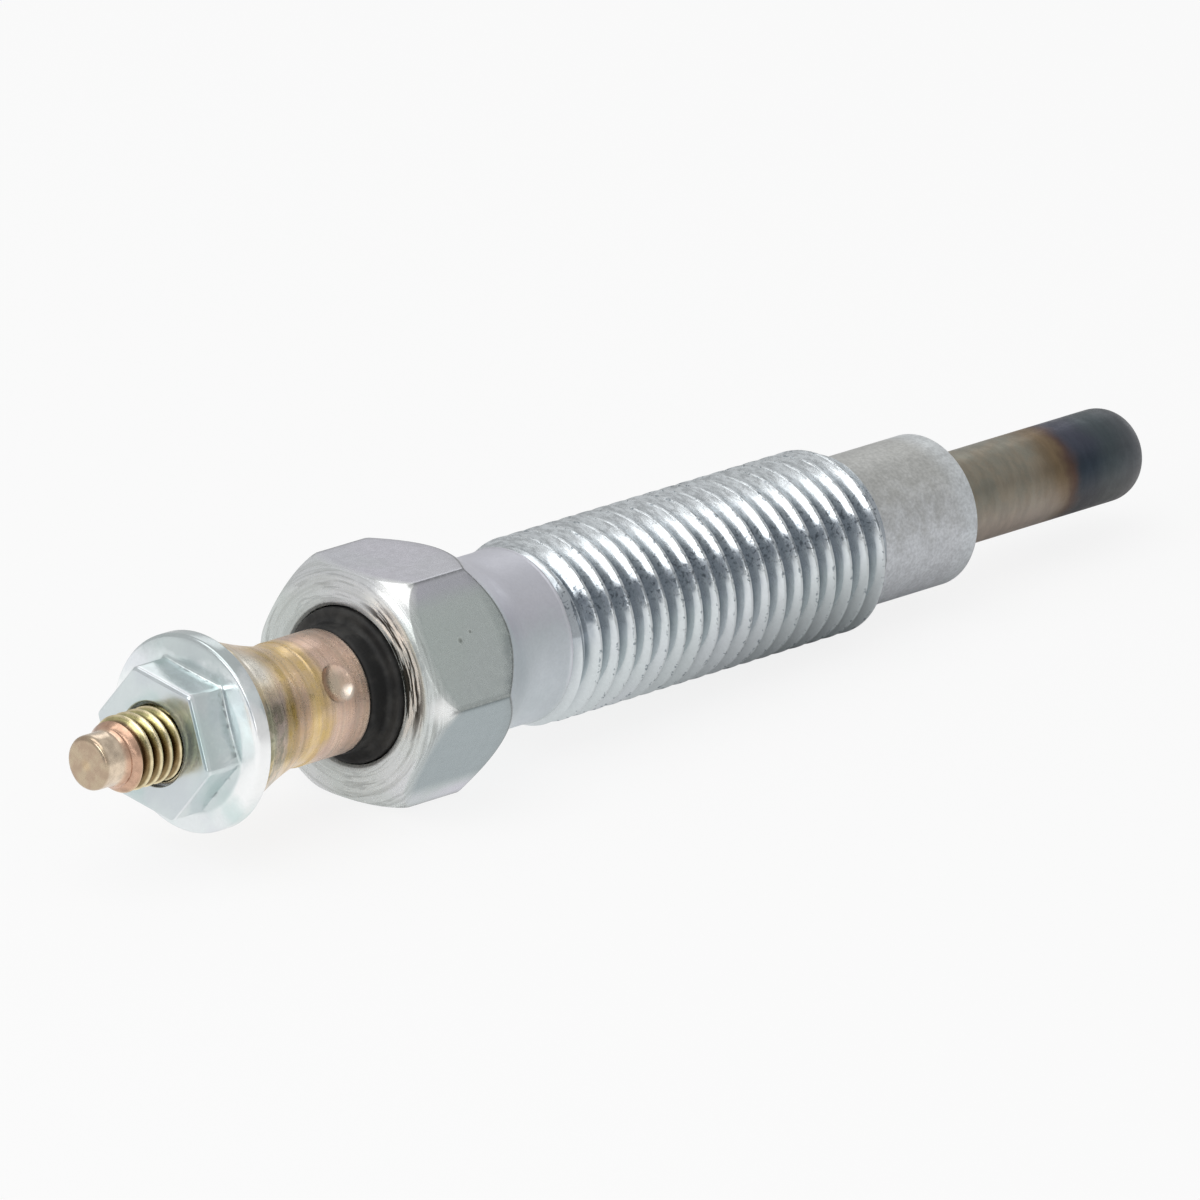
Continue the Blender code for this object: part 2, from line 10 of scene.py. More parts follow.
import bmesh
import bpy
import numpy as np
from bpy.props import FloatProperty, FloatVectorProperty, PointerProperty
from bpy.types import Operator, Panel, PropertyGroup
from mathutils import Euler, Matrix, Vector


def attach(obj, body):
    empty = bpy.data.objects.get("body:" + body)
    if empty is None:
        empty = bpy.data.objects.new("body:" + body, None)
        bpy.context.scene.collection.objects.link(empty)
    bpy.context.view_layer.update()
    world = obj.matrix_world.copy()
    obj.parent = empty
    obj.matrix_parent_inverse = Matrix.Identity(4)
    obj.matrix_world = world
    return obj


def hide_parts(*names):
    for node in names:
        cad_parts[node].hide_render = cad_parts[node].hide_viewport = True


bl_info = {
    "name": "Diesel Glow Plug",
    "version": (1, 0, 0),
    "blender": (4, 5, 0),
    "location": "View3D > Sidebar > Glow Plug",
    "description": "Builds the surfaces, finishes and studio of a diesel glow plug",
    "category": "Object",
}

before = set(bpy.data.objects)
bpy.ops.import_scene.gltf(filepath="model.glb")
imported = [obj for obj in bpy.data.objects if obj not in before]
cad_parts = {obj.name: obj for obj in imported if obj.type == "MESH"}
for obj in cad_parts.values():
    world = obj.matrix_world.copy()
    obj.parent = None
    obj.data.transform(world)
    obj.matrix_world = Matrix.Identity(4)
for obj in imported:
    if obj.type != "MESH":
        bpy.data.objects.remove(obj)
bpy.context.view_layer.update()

ROOT = "root"

# Clearances between pieces that fit or seat on each other
SEAT_GAP = 0.00005
SLIDE_GAP = 0.00005
BUSH_GAP = 0.00007

# Places along the axis, from the free end of the stud
NUT_TOP = 0.00465
NUT_BOTTOM = 0.00795
COLLAR_TOP = 0.0080
COLLAR_RIM = 0.0088
COLLAR_WAIST = 0.0131
COLLAR_STEP = 0.0138
PUNCH_MARK = 0.0151
COLLAR_BOTTOM = 0.0171
BUSH_TOP = 0.01715
BUSH_SHOULDER = 0.01835
BUSH_FLANGE_END = 0.02035
BUSH_END = 0.02295
HEX_FACE = 0.01845
FLAT_REAR = 0.0249
O_RING_END = 0.02411
THREAD_START = 0.0307
THREAD_END = 0.0546
NOSE_END = 0.0616
SHEATH_TIP = 0.0771336
HOUSING_END = SHEATH_TIP - 0.0143
SHEATH_TOP = HOUSING_END - 0.0200
ROD_NECK_END = SHEATH_TOP + 0.01055
ROD_END = ROD_NECK_END + 0.0016

# Thread form: sixty degrees, with its flat crest, depth and roundings in pitches
HALF_FLANK = math.radians(30.0)
CREST_SHARE = 0.125
THREAD_DEPTH_SHARE = 0.61
CREST_ROUNDING = 0.035
ROOT_ROUNDING = 0.085

# Housing: crown's start, step down to the thread, bead before it, and bores
CROWN_START = math.radians(66.0)
THREAD_STEP = 0.00022
THREAD_BLEND = 0.00015
BEAD_START = THREAD_START - 0.00040
BEAD_FULL = THREAD_START - 0.00028
BEAD_END = THREAD_START - 0.00020
ROD_HOLE = 0.0023
O_RING_SEAT = 0.00306
O_RING_CONE = 0.00076
EDGE_WIDTH = 0.00008

# Stud and rod: threaded length, its cone, its run-out in pitches, then neck and pin
STUD_THREAD = 0.0058
STUD_CONE = 0.0009
RUN_OUT_PITCHES = 1.2
NECK_CONE = 0.0009
NECK_RADIUS = 0.00125
PIN_RADIUS = 0.00088

# Nuts, bush and sheath: chamfers and draft, the flare's curve, and the punch mark's place
NUT_ROUNDING = 0.00030
NUT_CHAMFER = 0.00022
FACE_SLOPE = math.tan(math.radians(30.0))
RIM_DRAFT = 0.00012
BORE_CHAMFER = 0.0002
BUSH_CHAMFER = 0.0001
SHEATH_CHAMFER = 0.00015
FLARE_POWER = 1.3
FLARE_STEPS = 24
PUNCH_ANGLE = math.radians(-60.0)
PUNCH_REACH = 0.0012

# Rows on each rounded corner of a profile, three times as many on a wide one
CORNER_ROWS = 4
WIDE_REACH = 0.0004
# Reach and count of a corner that gives none
PLAIN_CORNER = (0.0, 1)
# Points closer than this are one point, and edges sharper than this stay sharp
WELD = 0.0000004
SHARP = math.radians(50.0)

# Tones of the zinc plate besides those in the panel, with painted light and shade among them
SHANK_TONE = (0.66, 0.71, 0.745)
UPPER_FLAT_LIGHT = (0.64, 0.70, 0.67)
LOWER_FLAT_SHADE = (0.355, 0.405, 0.42)
THREAD_FLANK_REFLECTION = (0.46, 0.50, 0.54)
THREAD_BELT_REFLECTION = (0.44, 0.48, 0.52)
BELT_REFLECTION_SPECKS = (0.10, 0.12, 0.14)
CROWN_PALE = (0.70, 0.73, 0.72)
CROWN_RING = (0.34, 0.36, 0.34)
CROWN_HAIR = (0.20, 0.21, 0.20)
CROWN_DARK_REFLECTION = (0.035, 0.035, 0.03)
CROWN_BRIGHT_REFLECTION = (0.97, 0.97, 0.92)
CROWN_GLINT = (0.97, 0.98, 0.97)
NOSE_UNDER_LIGHT = (0.68, 0.70, 0.73)
NOSE_TOP_SHADE = (0.50, 0.505, 0.49)
NOSE_RIM = (0.71, 0.75, 0.78)
FLAT_EDGE_REFLECTION = (0.09, 0.10, 0.10)
FLAT_DENT = (0.22, 0.24, 0.22)
# Tones of the terminal nut, with painted reflections and shade among them
FLANGE_TOP_REFLECTION = (0.46, 0.52, 0.52)
FLANGE_HIGHLIGHT = (0.98, 0.99, 0.99)
NUT_FLATS = (0.60, 0.68, 0.68)
NUT_FACE_SHADE = (0.79, 0.82, 0.82)
NUT_CREASE_SHADE = (0.20, 0.23, 0.24)
# Tones of the collar nut, with painted shade and highlights among them
COLLAR_RIM_SHADE = (0.26, 0.26, 0.17)
COLLAR_GLINT = (0.95, 0.93, 0.86)
COLLAR_RING = (0.86, 0.72, 0.56)
PUNCH_TONE = (0.56, 0.52, 0.40)
PUNCH_LIP_HIGHLIGHT = (0.94, 0.89, 0.80)
COLLAR_END = (0.88, 0.76, 0.66)
# Tones of the stud, the sheath and the bush, with painted sheen and light among them
PILOT_BROWN = (0.52, 0.42, 0.30)
PILOT_MIDDLE = (0.66, 0.50, 0.32)
PILOT_SIDE = (0.80, 0.66, 0.51)
FLANK_BROWN = (0.28, 0.20, 0.10)
FLANK_OLIVE_SHEEN = (0.52, 0.47, 0.23)
PLAIN_STEEL = (0.56, 0.55, 0.53)
SHEATH_MOTTLE = (0.270, 0.258, 0.212)
SHEATH_TOP_SHEEN = (0.100, 0.100, 0.135)
SHEATH_TEAL = (0.082, 0.102, 0.112)
SHEATH_UNDERSIDE_LIGHT = (0.56, 0.48, 0.42)
BUSH_RUBBED = (0.052, 0.051, 0.048)

# Height of each finish's bump in metres, for a height of one
ZINC_BUMP = 0.0000016
DENT_BUMP = 0.00003
NUT_BUMP = 0.0000007
COLLAR_BUMP = 0.0000022
STUD_BUMP = 0.0000028
SHEATH_BUMP = 0.0000020
BUSH_BUMP = 0.000008

# Spots on the finishes: centre along, beside and above the axis, and size, in millimetres
CROWN_GLINTS = (((19.4, -2.95, 5.5), 1.75), ((19.4, -6.2, 0.1), 1.15))
FLAT_DENTS = (((21.5, -5.196, 3.0), 0.24), ((22.35, -5.05, 3.26), 0.16))
FLARE_GLINT = ((9.2, -2.4, 3.5), 2.1)
PUNCH_HOLLOW = ((15.1, -2.84, 1.64), 1.15)
PUNCH_HIGHLIGHT_WHOLE = ((15.52, -2.98, 1.18), 0.80)
PUNCH_HIGHLIGHT_LESS = ((15.18, -2.88, 1.52), 0.95)
PILOT_SPOT = ((0.0, 0.05, -0.1), 0.45)

# Finishes of hidden pieces: two tones, metallic, greatest roughness, grains per mm, bump
HIDDEN_FINISHES = {
    "black_rubber": (
        (0.018, 0.018, 0.018), (0.035, 0.034, 0.033), 0.0, 0.75, 7.0, 0.000006),
    "white_powder": ((0.80, 0.79, 0.76), (0.70, 0.69, 0.66), 0.0, 0.95, 12.0, 0.00001),
    "nickel_wire": ((0.58, 0.55, 0.51), (0.48, 0.46, 0.43), 1.0, 0.42, 15.0, 0.000002),
    "heating_wire": ((0.42, 0.40, 0.39), (0.30, 0.28, 0.27), 1.0, 0.55, 15.0, 0.000003),
}
HIDDEN_PIECES = {
    "o_ring": "black_rubber", "sheath_seal": "black_rubber", "magnesia_filling": "white_powder",
    "control_coil": "nickel_wire", "heating_coil": "heating_wire"}

# Softboxes: name, place, aim, width, height and the panel's level
LAMPS = (
    ("key_softbox", (-0.38, 0.0, 0.175), (0.0, 0.0, 0.006), 0.26, 0.17, "key_level"),
    ("top_softbox", (-0.16, 0.02, 0.55), (0.0, 0.0, 0.0), 0.60, 0.40, "top_level"),
    ("side_softbox", (0.53, 0.40, 0.46), (-0.02, 0.0, 0.01), 0.30, 0.24, "side_level"),
    ("back_softbox", (0.42, 0.12, 0.09), (-0.03, 0.0, 0.01), 0.12, 0.07, "back_level"),
    ("front_softbox", (-0.47, -0.35, 0.105), (-0.03, 0.0, 0.008), 0.25, 0.08, "front_level"),
)

# Dark cards that only reflections show: name, four corners and colour
CARDS = (
    ("dark_strip",
     ((-0.17, -0.070, 0.0), (-0.17, 0.045, 0.0), (-0.17, 0.045, 0.062), (-0.17, -0.070, 0.062)),
     (0.36, 0.39, 0.43)),
    ("dark_panel",
     ((0.144, -0.156, 0.045), (0.182, -0.118, 0.045), (0.182, -0.118, 0.10),
      (0.155, -0.145, 0.10)),
     (0.15, 0.17, 0.19)),
)

# The floor's corners, and the X between which reflections stop showing it white
FLOOR_CORNERS = ((-4.0, -4.0, 0.0), (4.0, -4.0, 0.0), (4.0, 4.0, 0.0), (-4.0, 4.0, 0.0))
WHITE_UNTIL = -0.014
PLAIN_FROM = 0.012

# Camera: sensor, image width in pixels, depth of its middle, and pixels right and up of it
SENSOR_WIDTH = 36.0
IMAGE_WIDTH = 1200.0
MIDDLE_DEPTH = 0.040
PIXELS_RIGHT = 35.8
PIXELS_UP = 3.5

MM_PER_METRE = 1000.0

# Layout of the nodes in the shader editor
NODES_PER_ROW = 9
NODE_WIDTH = 180
NODE_HEIGHT = 260


def length(name, description, default):
    return FloatProperty(
        name=name, description=description, default=default, min=0.0, soft_max=0.1,
        precision=5, step=0.01, unit="LENGTH")


def angle(name, description, degrees):
    return FloatProperty(
        name=name, description=description, default=math.radians(degrees), precision=3,
        unit="ROTATION", subtype="ANGLE")


def share(name, description, default, most=1.0):
    return FloatProperty(
        name=name, description=description, default=default, min=0.0, max=most,
        subtype="FACTOR")


def colour(name, description, default):
    return FloatVectorProperty(
        name=name, description=description, default=default, size=3, min=0.0, max=1.0,
        subtype="COLOR")


class GlowPlugPlace(PropertyGroup):
    """Where the axis lies when the plug rests on a spanner flat and on its thread."""

    start: FloatProperty(
        name="Axis start", description="X of the free end of the stud",
        default=-0.03851587, precision=6, unit="LENGTH")
    height: length("Axis height", "Height of the axis at the free end of the stud", 0.00689703)
    tilt: FloatProperty(
        name="Tilt", description="Fall of the axis towards the heating tip",
        default=0.03619109, precision=4, unit="ROTATION", subtype="ANGLE")


class GlowPlugHousing(PropertyGroup):
    """Sizes of the housing."""

    across_flats: length("Across flats", "Width of the hexagon between two flats", 0.0120)
    corner_rounding: length("Corner rounding", "Radius along the hexagon's corners", 0.00022)
    flat_edge: length("Flat edge", "How far the edges of the flats are rounded", 0.00009)
    crown_radius: length("Crown radius", "Radius of the turned crown of the hexagon", 0.0020)
    face_margin: length("Face margin", "Crown face inside the flats", 0.00023)
    rear_angle: angle("Rear angle", "Slope of the cone behind the hexagon", 32.0)
    shank_radius: length("Shank radius", "Plain shank ahead of the thread", 0.00458)
    shank_bead: length("Shank bead", "Small bead where the shank meets the thread", 0.00005)
    thread_radius: length("Thread radius", "Radius over the thread's crests", 0.00495)
    thread_pitch: length("Thread pitch", "Distance from crest to crest", 0.00125)
    thread_lead: length("Thread lead", "Length of the tapered ends of the thread", 0.0007)
    nose_radius: length("Nose radius", "Plain end below the thread", 0.00405)
    seat_radius: length("Seat end radius", "Small end of the conical seat", 0.00275)
    counterbore: length("Counterbore radius", "Seat of the insulating bush", 0.00415)
    mouth_chamfer: length("Mouth chamfer", "Chamfer at the mouth of the counterbore", 0.0002)


class GlowPlugTerminal(PropertyGroup):
    """Sizes of the stud, the terminal nut, the collar nut and the bush."""

    pilot_radius: length("Pilot radius", "Plain pilot at the end of the stud", 0.00143)
    pilot_length: length("Pilot length", "Length of the pilot", 0.0013)
    stud_radius: length("Stud radius", "Radius over the stud's crests", 0.00198)
    stud_pitch: length("Stud pitch", "Pitch of the stud's thread", 0.0007)
    rod_radius: length("Rod radius", "Plain rod inside the housing", 0.0019)
    nut_across_flats: length("Nut across flats", "Width of the nut's hexagon", 0.0070)
    nut_edge: length("Nut edge", "Rounded edge round the nut's face", 0.00018)
    nut_corner_cut: length("Nut corner cut", "How far the face's chamfer cuts the corners", 0.00022)
    nut_turn: angle("Nut turn", "Turn of the nut's flats about the axis", -69.4)
    flange_radius: length("Flange radius", "Radius of the nut's flange", 0.00518)
    flange_angle: angle("Flange angle", "Fall of the flange's top to its rim", 8.0)
    rim_thickness: length("Rim thickness", "Height of the flange's rim", 0.0009)
    flare_radius: length("Flare radius", "Wide end of the collar nut", 0.00455)
    waist_radius: length("Waist radius", "Neck of the collar nut", 0.00322)
    barrel_radius: length("Barrel radius", "Barrel of the collar nut", 0.00328)
    stake_radius: length("Punch mark radius", "Half width of the staking marks", 0.00102)
    stake_depth: length("Punch mark depth", "Depth of the staking marks", 0.00050)
    bush_hub: length("Bush hub radius", "Hub of the insulating bush", 0.00335)
    bush_flange: length("Bush flange radius", "Flange of the insulating bush", 0.00408)
    bush_sleeve: length("Bush sleeve radius", "Sleeve of the insulating bush", 0.00302)


class GlowPlugSheath(PropertyGroup):
    """Sizes of the heater sheath."""

    radius: length("Sheath radius", "Outside of the sheath", 0.0025)
    wall: length("Sheath wall", "Wall of the sheath", 0.0006)
    tip_radius: length("Tip radius", "Rounding of the closed tip", 0.0017)
    floor: length("Tip wall", "Wall at the closed tip", 0.0009)


class GlowPlugFinish(PropertyGroup):
    """Colours of the finishes, as they are without light or shade, save the painted shade of the
    thread's roots and of the stud's grooves.
    """

    zinc: colour("Zinc", "Zinc plate on the housing", (0.56, 0.60, 0.60))
    zinc_green: colour("Zinc, green cast", "Passivated zinc, cool green", (0.50, 0.565, 0.545))
    zinc_blue: colour("Zinc, blue cast", "Passivated zinc, lavender blue", (0.64, 0.635, 0.695))
    thread_zinc: colour("Zinc on the thread", "Brighter plate of the thread", (0.71, 0.755, 0.775))
    # Painted shade in the thread's roots, and the tone of the nicks on its crests
    root_shade_and_nicks: colour("Thread root", "Shading in the thread's roots", (0.20, 0.24, 0.27))
    nut_zinc: colour("Bright zinc", "Bright plate on the terminal nut", (0.85, 0.89, 0.90))
    nut_cyan: colour("Bright zinc, cyan cast", "Cyan gleam of the plate", (0.68, 0.80, 0.79))
    nut_blue: colour("Bright zinc, blue cast", "Blue gleam of the plate", (0.80, 0.83, 0.86))
    gold: colour("Yellow zinc", "Gold of the chromate on the collar nut", (0.80, 0.58, 0.26))
    olive: colour("Yellow zinc, olive", "Olive gleam at the flare's rim", (0.50, 0.50, 0.38))
    mauve: colour("Yellow zinc, mauve", "Mauve gleam of the chromate", (0.70, 0.55, 0.50))
    brown: colour("Yellow zinc, brown", "Brown band of the chromate", (0.68, 0.46, 0.14))
    pink: colour("Yellow zinc, pink", "Pink gleam of the chromate", (0.80, 0.56, 0.38))
    barrel: colour("Yellow zinc, barrel", "Pink tan of the barrel", (0.76, 0.54, 0.42))
    stud_crest: colour("Stud, crests", "Chromate on the stud's crests", (0.86, 0.74, 0.48))
    # Painted shade in the stud's grooves
    stud_groove_shade: colour("Stud, grooves", "Brown grime in the stud's thread", (0.08, 0.05, 0.02))
    stud_copper: colour("Stud, lead", "Copper gleam on the stud's lead", (0.60, 0.37, 0.26))
    stud_beige: colour("Stud, beige", "Chromate on the pilot", (0.58, 0.44, 0.32))
    sheath_grey: colour("Sheath, grey", "Oxidised sheath by the housing", (0.305, 0.270, 0.212))
    sheath_straw: colour("Sheath, straw", "Brown tint of the heated zone", (0.217, 0.158, 0.096))
    sheath_red: colour("Sheath, red brown", "Dark band ahead of the blue", (0.115, 0.071, 0.056))
    sheath_blue: colour("Sheath, blue", "Blue black of the heated zone", (0.044, 0.060, 0.080))
    sheath_tip: colour("Sheath, tip", "Grey of the heated tip", (0.145, 0.152, 0.164))
    bush_black: colour("Bush black", "Moulded insulating bush", (0.017, 0.017, 0.017))


class GlowPlugStudio(PropertyGroup):
    """Camera, lamps and floor."""

    camera_azimuth: angle("Camera azimuth", "Direction that the camera looks in", -46.4)
    camera_elevation: angle("Camera elevation", "Angle above the horizon", 19.7)
    camera_distance: FloatProperty(
        name="Camera distance", description="From the middle of the plug", default=1.05,
        min=0.1, unit="LENGTH")
    lens: FloatProperty(
        name="Lens", description="Focal length on a 36 mm sensor", default=612.0, min=50.0)
    world_level: share("Room level", "Plain light from the room", 0.60, 2.0)
    key_level: share("Key level", "Brightness of the large softbox", 3.0, 10.0)
    top_level: share("Top level", "Brightness of the overhead softbox", 1.4, 10.0)
    side_level: share("Side level", "Brightness of the softbox behind the tip", 0.75, 10.0)
    front_level: share("Front level", "Brightness of the low softbox beside the camera", 1.5, 10.0)
    back_level: share("Back level", "Brightness of the small softbox beyond the tip", 0.8, 10.0)
    floor_colour: colour("Floor", "Pale paper under the plug", (0.74, 0.74, 0.74))
    floor_white: share("Floor white", "Share of plain white that the camera sees", 0.85)


class GlowPlugSettings(PropertyGroup):
    """Everything that a user of the glow plug would change."""

    place: PointerProperty(type=GlowPlugPlace)
    housing: PointerProperty(type=GlowPlugHousing)
    terminal: PointerProperty(type=GlowPlugTerminal)
    sheath: PointerProperty(type=GlowPlugSheath)
    finish: PointerProperty(type=GlowPlugFinish)
    studio: PointerProperty(type=GlowPlugStudio)


def even_angles(count):
    """Turn angles in equal steps; the last is the first one a full turn on."""
    return np.linspace(0.0, math.tau, count + 1)


def sector_angles(centre, sectors, fine_half, fine_count, coarse_count):
    """Turn angles in equal sectors, closer together about the centre of each, and closed."""
    sector = math.tau / sectors
    near = np.linspace(-fine_half, fine_half, fine_count + 1)[:-1]
    far = np.linspace(fine_half, sector - fine_half, coarse_count + 1)[:-1]
    around = centre + np.arange(sectors)[:, None] * sector + np.concatenate([near, far])
    return np.append(around, around[0, 0] + math.tau)


def hexagon_radius(angles, half_width, turn, rounding):
    """Distance from the axis to a hexagon with rounded corners, at each turn angle.

    On a flat it is half_width / cos(a), with a counted from the flat's middle.  Where the
    corner's arc begins it becomes the far crossing of the ray with that arc, which is
    c cos(b) + sqrt(q^2 - c^2 sin(b)^2), with b counted from the corner.
    """
    sixth = math.pi / 6
    from_flat = np.abs((angles - turn + sixth) % (2 * sixth) - sixth)
    from_corner = sixth - from_flat
    centre = (half_width - rounding) / math.cos(sixth)
    arc_start = math.atan((half_width - rounding) * math.tan(sixth) / half_width)
    under_root = np.clip(rounding ** 2 - (centre * np.sin(from_corner)) ** 2, 0.0, None)
    on_arc = centre * np.cos(from_corner) + np.sqrt(under_root)
    on_flat = half_width / np.cos(from_flat)
    return np.where(from_flat > arc_start, on_arc, on_flat)


def profile_rows(corners, angles):
    """Rows of (radius, depth) along a profile with rounded corners, for every turn angle.

    A corner is (radius, depth, reach, count), where reach may be left out if it is zero and
    count if it is one.  A radius or depth may be an array with a value for each angle.  A
    corner with a reach is replaced by the parabola a(1-t)^2 + 2bt(1-t) + ct^2, where b is
    the corner and a and c lie one reach before and after it, and the straight up to the
    next corner is cut into count steps.
    """
    corners = [(*corner, *PLAIN_CORNER[len(corner) - 2:]) for corner in corners]
    shape = np.ones_like(angles)
    points = [
        np.stack([radius * shape, depth * shape], axis=-1) for radius, depth, _, _ in corners]
    curves = []
    for index, (point, (_, _, reach, _)) in enumerate(zip(points, corners)):
        if reach == 0.0:
            curves.append(point[None])
            continue
        back = points[index - 1] - point
        ahead = points[index + 1] - point
        back_length = np.linalg.norm(back, axis=-1, keepdims=True)
        ahead_length = np.linalg.norm(ahead, axis=-1, keepdims=True)
        room = np.minimum(np.minimum(back_length, ahead_length) * 0.45, reach)
        start = point + back / back_length * room
        end = point + ahead / ahead_length * room
        rows_here = CORNER_ROWS if reach < WIDE_REACH else 3 * CORNER_ROWS
        t = np.linspace(0.0, 1.0, rows_here + 1)[:, None, None]
        curves.append(start * (1 - t) ** 2 + 2 * point * t * (1 - t) + end * t ** 2)
    rows = []
    for curve, following, (_, _, _, count) in zip(curves, curves[1:], corners):
        t = np.linspace(0.0, 1.0, count + 1)[1:-1, None, None]
        rows += [curve, curve[-1] * (1 - t) + following[0] * t]
    return np.concatenate([*rows, curves[-1]])


def arc_corners(radius, depth, size, start, end, count):
    """Corners without rounding on a circle about (radius, depth), from start to end angle.

    An angle of zero points outwards and a right angle points down the axis.
    """
    turns = [start + (end - start) * step / count for step in range(count + 1)]
    return [(radius + size * np.cos(turn), depth + size * np.sin(turn)) for turn in turns]


def thread_rows(angles, crest_radius, pitch, crest_depth, top, bottom):
    """Rows of (radius, depth) that run along a right-hand thread between two depths.

    One pitch of the profile has a flat crest, straight flanks and a flat root, with its
    corners rounded.  Row k of turn n lies at crest_depth + n pitch + offset k, less one
    pitch for each full turn angle past straight down, and is held between top and bottom.
    """
    drop = THREAD_DEPTH_SHARE * pitch
    half_crest = CREST_SHARE * pitch / 2
    half_foot = half_crest + drop * math.tan(HALF_FLANK)
    section = profile_rows([
        (drop, -pitch / 2),
        (drop, -half_foot, ROOT_ROUNDING * pitch, 2),
        (0.0, -half_crest, CREST_ROUNDING * pitch),
        (0.0, half_crest, CREST_ROUNDING * pitch, 2),
        (drop, half_foot, ROOT_ROUNDING * pitch),
        (drop, pitch / 2),
    ], np.zeros(1))[:-1, 0, :]
    last = int(math.ceil((bottom - crest_depth) / pitch)) + 2
    first = int(math.floor((top - crest_depth) / pitch)) - 2
    turns = np.arange(first, last)[:, None]
    offsets = (turns * pitch + section[None, :, 1]).ravel()
    drops = np.tile(section[:, 0], len(turns))
    depth = crest_depth + offsets[:, None] - pitch * (angles[None, :] - math.pi) / math.tau
    radius = np.broadcast_to(crest_radius - drops[:, None], depth.shape)
    return np.stack([radius, np.clip(depth, top, bottom)], axis=-1)


def hexagon_marks(rows, angles, turn, hexagon, end, corner_share):
    """Marks between zero and one along a hexagon's lower edge and down its six corners.

    The first falls off as exp(-d^2), where d is the distance from the edge in widths, and
    the second does the same in 1.6 widths, round the axis from the nearest corner.
    """
    width = EDGE_WIDTH
    radius, depth = rows[..., 0], rows[..., 1]
    sixth = math.pi / 6
    from_corner = np.abs((angles - turn) % (2 * sixth) - sixth) * hexagon
    on_hexagon = (radius > hexagon - width) & (depth < end + width)
    at_end = np.exp(-((depth - end) / width) ** 2) * (radius > hexagon - 2 * width)
    at_corner = np.exp(-(from_corner / (1.6 * width)) ** 2) * on_hexagon
    return np.maximum(at_end, corner_share * at_corner)


def smooth_step(value, start, end):
    """Zero before start, one past end, and 3t^2 - 2t^3 between them."""
    t = np.clip((value - start) / (end - start), 0.0, 1.0)
    return t * t * (3.0 - 2.0 * t)


def placed(rows, angles):
    """Points of rows in the scene: start + depth along + radius (cos(a) up + sin(a) side)."""
    place = bpy.context.scene.glow_plug.place
    along = np.array([math.cos(place.tilt), 0.0, -math.sin(place.tilt)])
    upward = np.array([math.sin(place.tilt), 0.0, math.cos(place.tilt)])
    side = np.array([0.0, 1.0, 0.0])
    start = np.array([place.start, 0.0, place.height])
    outward = np.cos(angles)[:, None] * upward + np.sin(angles)[:, None] * side
    return start + rows[..., 1:] * along + rows[..., :1] * outward[None]


def surface(name, rows, angles, marks=None):
    """A closed mesh object from rows whose seams and poles coincide.

    Quads join neighbours in the grid, and marks holds the values of each point attribute.
    Equal points are welded, which closes the seams.  The sum over the quads of their middle
    times the cross product of their diagonals says whether the faces have to be turned.
    """
    points = placed(rows, angles)
    index = np.arange(points[..., 0].size).reshape(points.shape[:2])
    quads = np.stack(
        [index[:-1, :-1], index[1:, :-1], index[1:, 1:], index[:-1, 1:]], axis=-1).reshape(-1, 4)
    flat = points.reshape(-1, 3)
    p = flat[quads] - flat.mean(axis=0)
    faced = np.cross(p[:, 2] - p[:, 0], p[:, 3] - p[:, 1])
    if np.sum(p.mean(axis=1) * faced) < 0.0:
        quads = quads[:, ::-1]
    mesh = bpy.data.meshes.new(name)
    mesh.from_pydata(flat, [], quads)
    for mark, values in (marks or {}).items():
        layer = mesh.attributes.new(mark, "FLOAT", "POINT")
        layer.data.foreach_set("value", values.astype(np.float32).ravel())
    bm = bmesh.new()
    bm.from_mesh(mesh)
    bmesh.ops.remove_doubles(bm, verts=bm.verts, dist=WELD)
    bmesh.ops.dissolve_degenerate(bm, edges=bm.edges, dist=WELD)
    open_edges = sum(1 for edge in bm.edges if not edge.is_manifold)
    bm.to_mesh(mesh)
    bm.free()
    if open_edges:
        raise RuntimeError(f"{name} has {open_edges} edges that aren't closed")
    mesh.shade_smooth()
    mesh.set_sharp_from_angle(angle=SHARP)
    piece = bpy.data.objects.new(name, mesh)
    bpy.context.scene.collection.objects.link(piece)
    piece.modifiers.new("weighted_normals", "WEIGHTED_NORMAL").keep_sharp = True
    return piece


def dress(obj, node, material):
    """Put a piece on the root body in place of a CAD node, with its finish."""
    obj.data.materials.append(material)
    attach(obj, ROOT)
    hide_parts(node)


class Signal:
    """What one node puts out: masks and heights add and multiply, and colours are painted."""

    def __init__(self, sheet, socket):
        self.sheet = sheet
        self.socket = socket

    def math(self, operation, other=0.0):
        return self.sheet.add("ShaderNodeMath", {0: self, 1: other}, operation=operation)

    def __add__(self, other):
        return self.math("ADD", other)

    def __sub__(self, other):
        return self.math("SUBTRACT", other)

    def __mul__(self, other):
        return self.math("MULTIPLY", other)

    def most(self, other):
        return self.math("MAXIMUM", other)

    def span(self, low, high, to_low=0.0, to_high=1.0):
        """Smooth change from to_low to to_high while this goes from low to high."""
        values = {
            "Value": self, "From Min": low, "From Max": high, "To Min": to_low, "To Max": to_high}
        return self.sheet.add("ShaderNodeMapRange", values, interpolation_type="SMOOTHSTEP")

    def band(self, start, full, fading, end):
        """Zero outside start and end, and one from full to fading."""
        return self.span(start, full) * self.span(end, fading)

    def apart(self):
        """One where this mask is zero, and zero where it is one."""
        return self.span(1.0, 0.0)

    def paint(self, colour, mask):
        """This colour with another one over it, as far as the mask says."""
        return self.sheet.mix(mask, self, colour)

    def shade(self, tone):
        """This colour times a tone."""
        return self.sheet.mix(1.0, self, tone, "MULTIPLY")


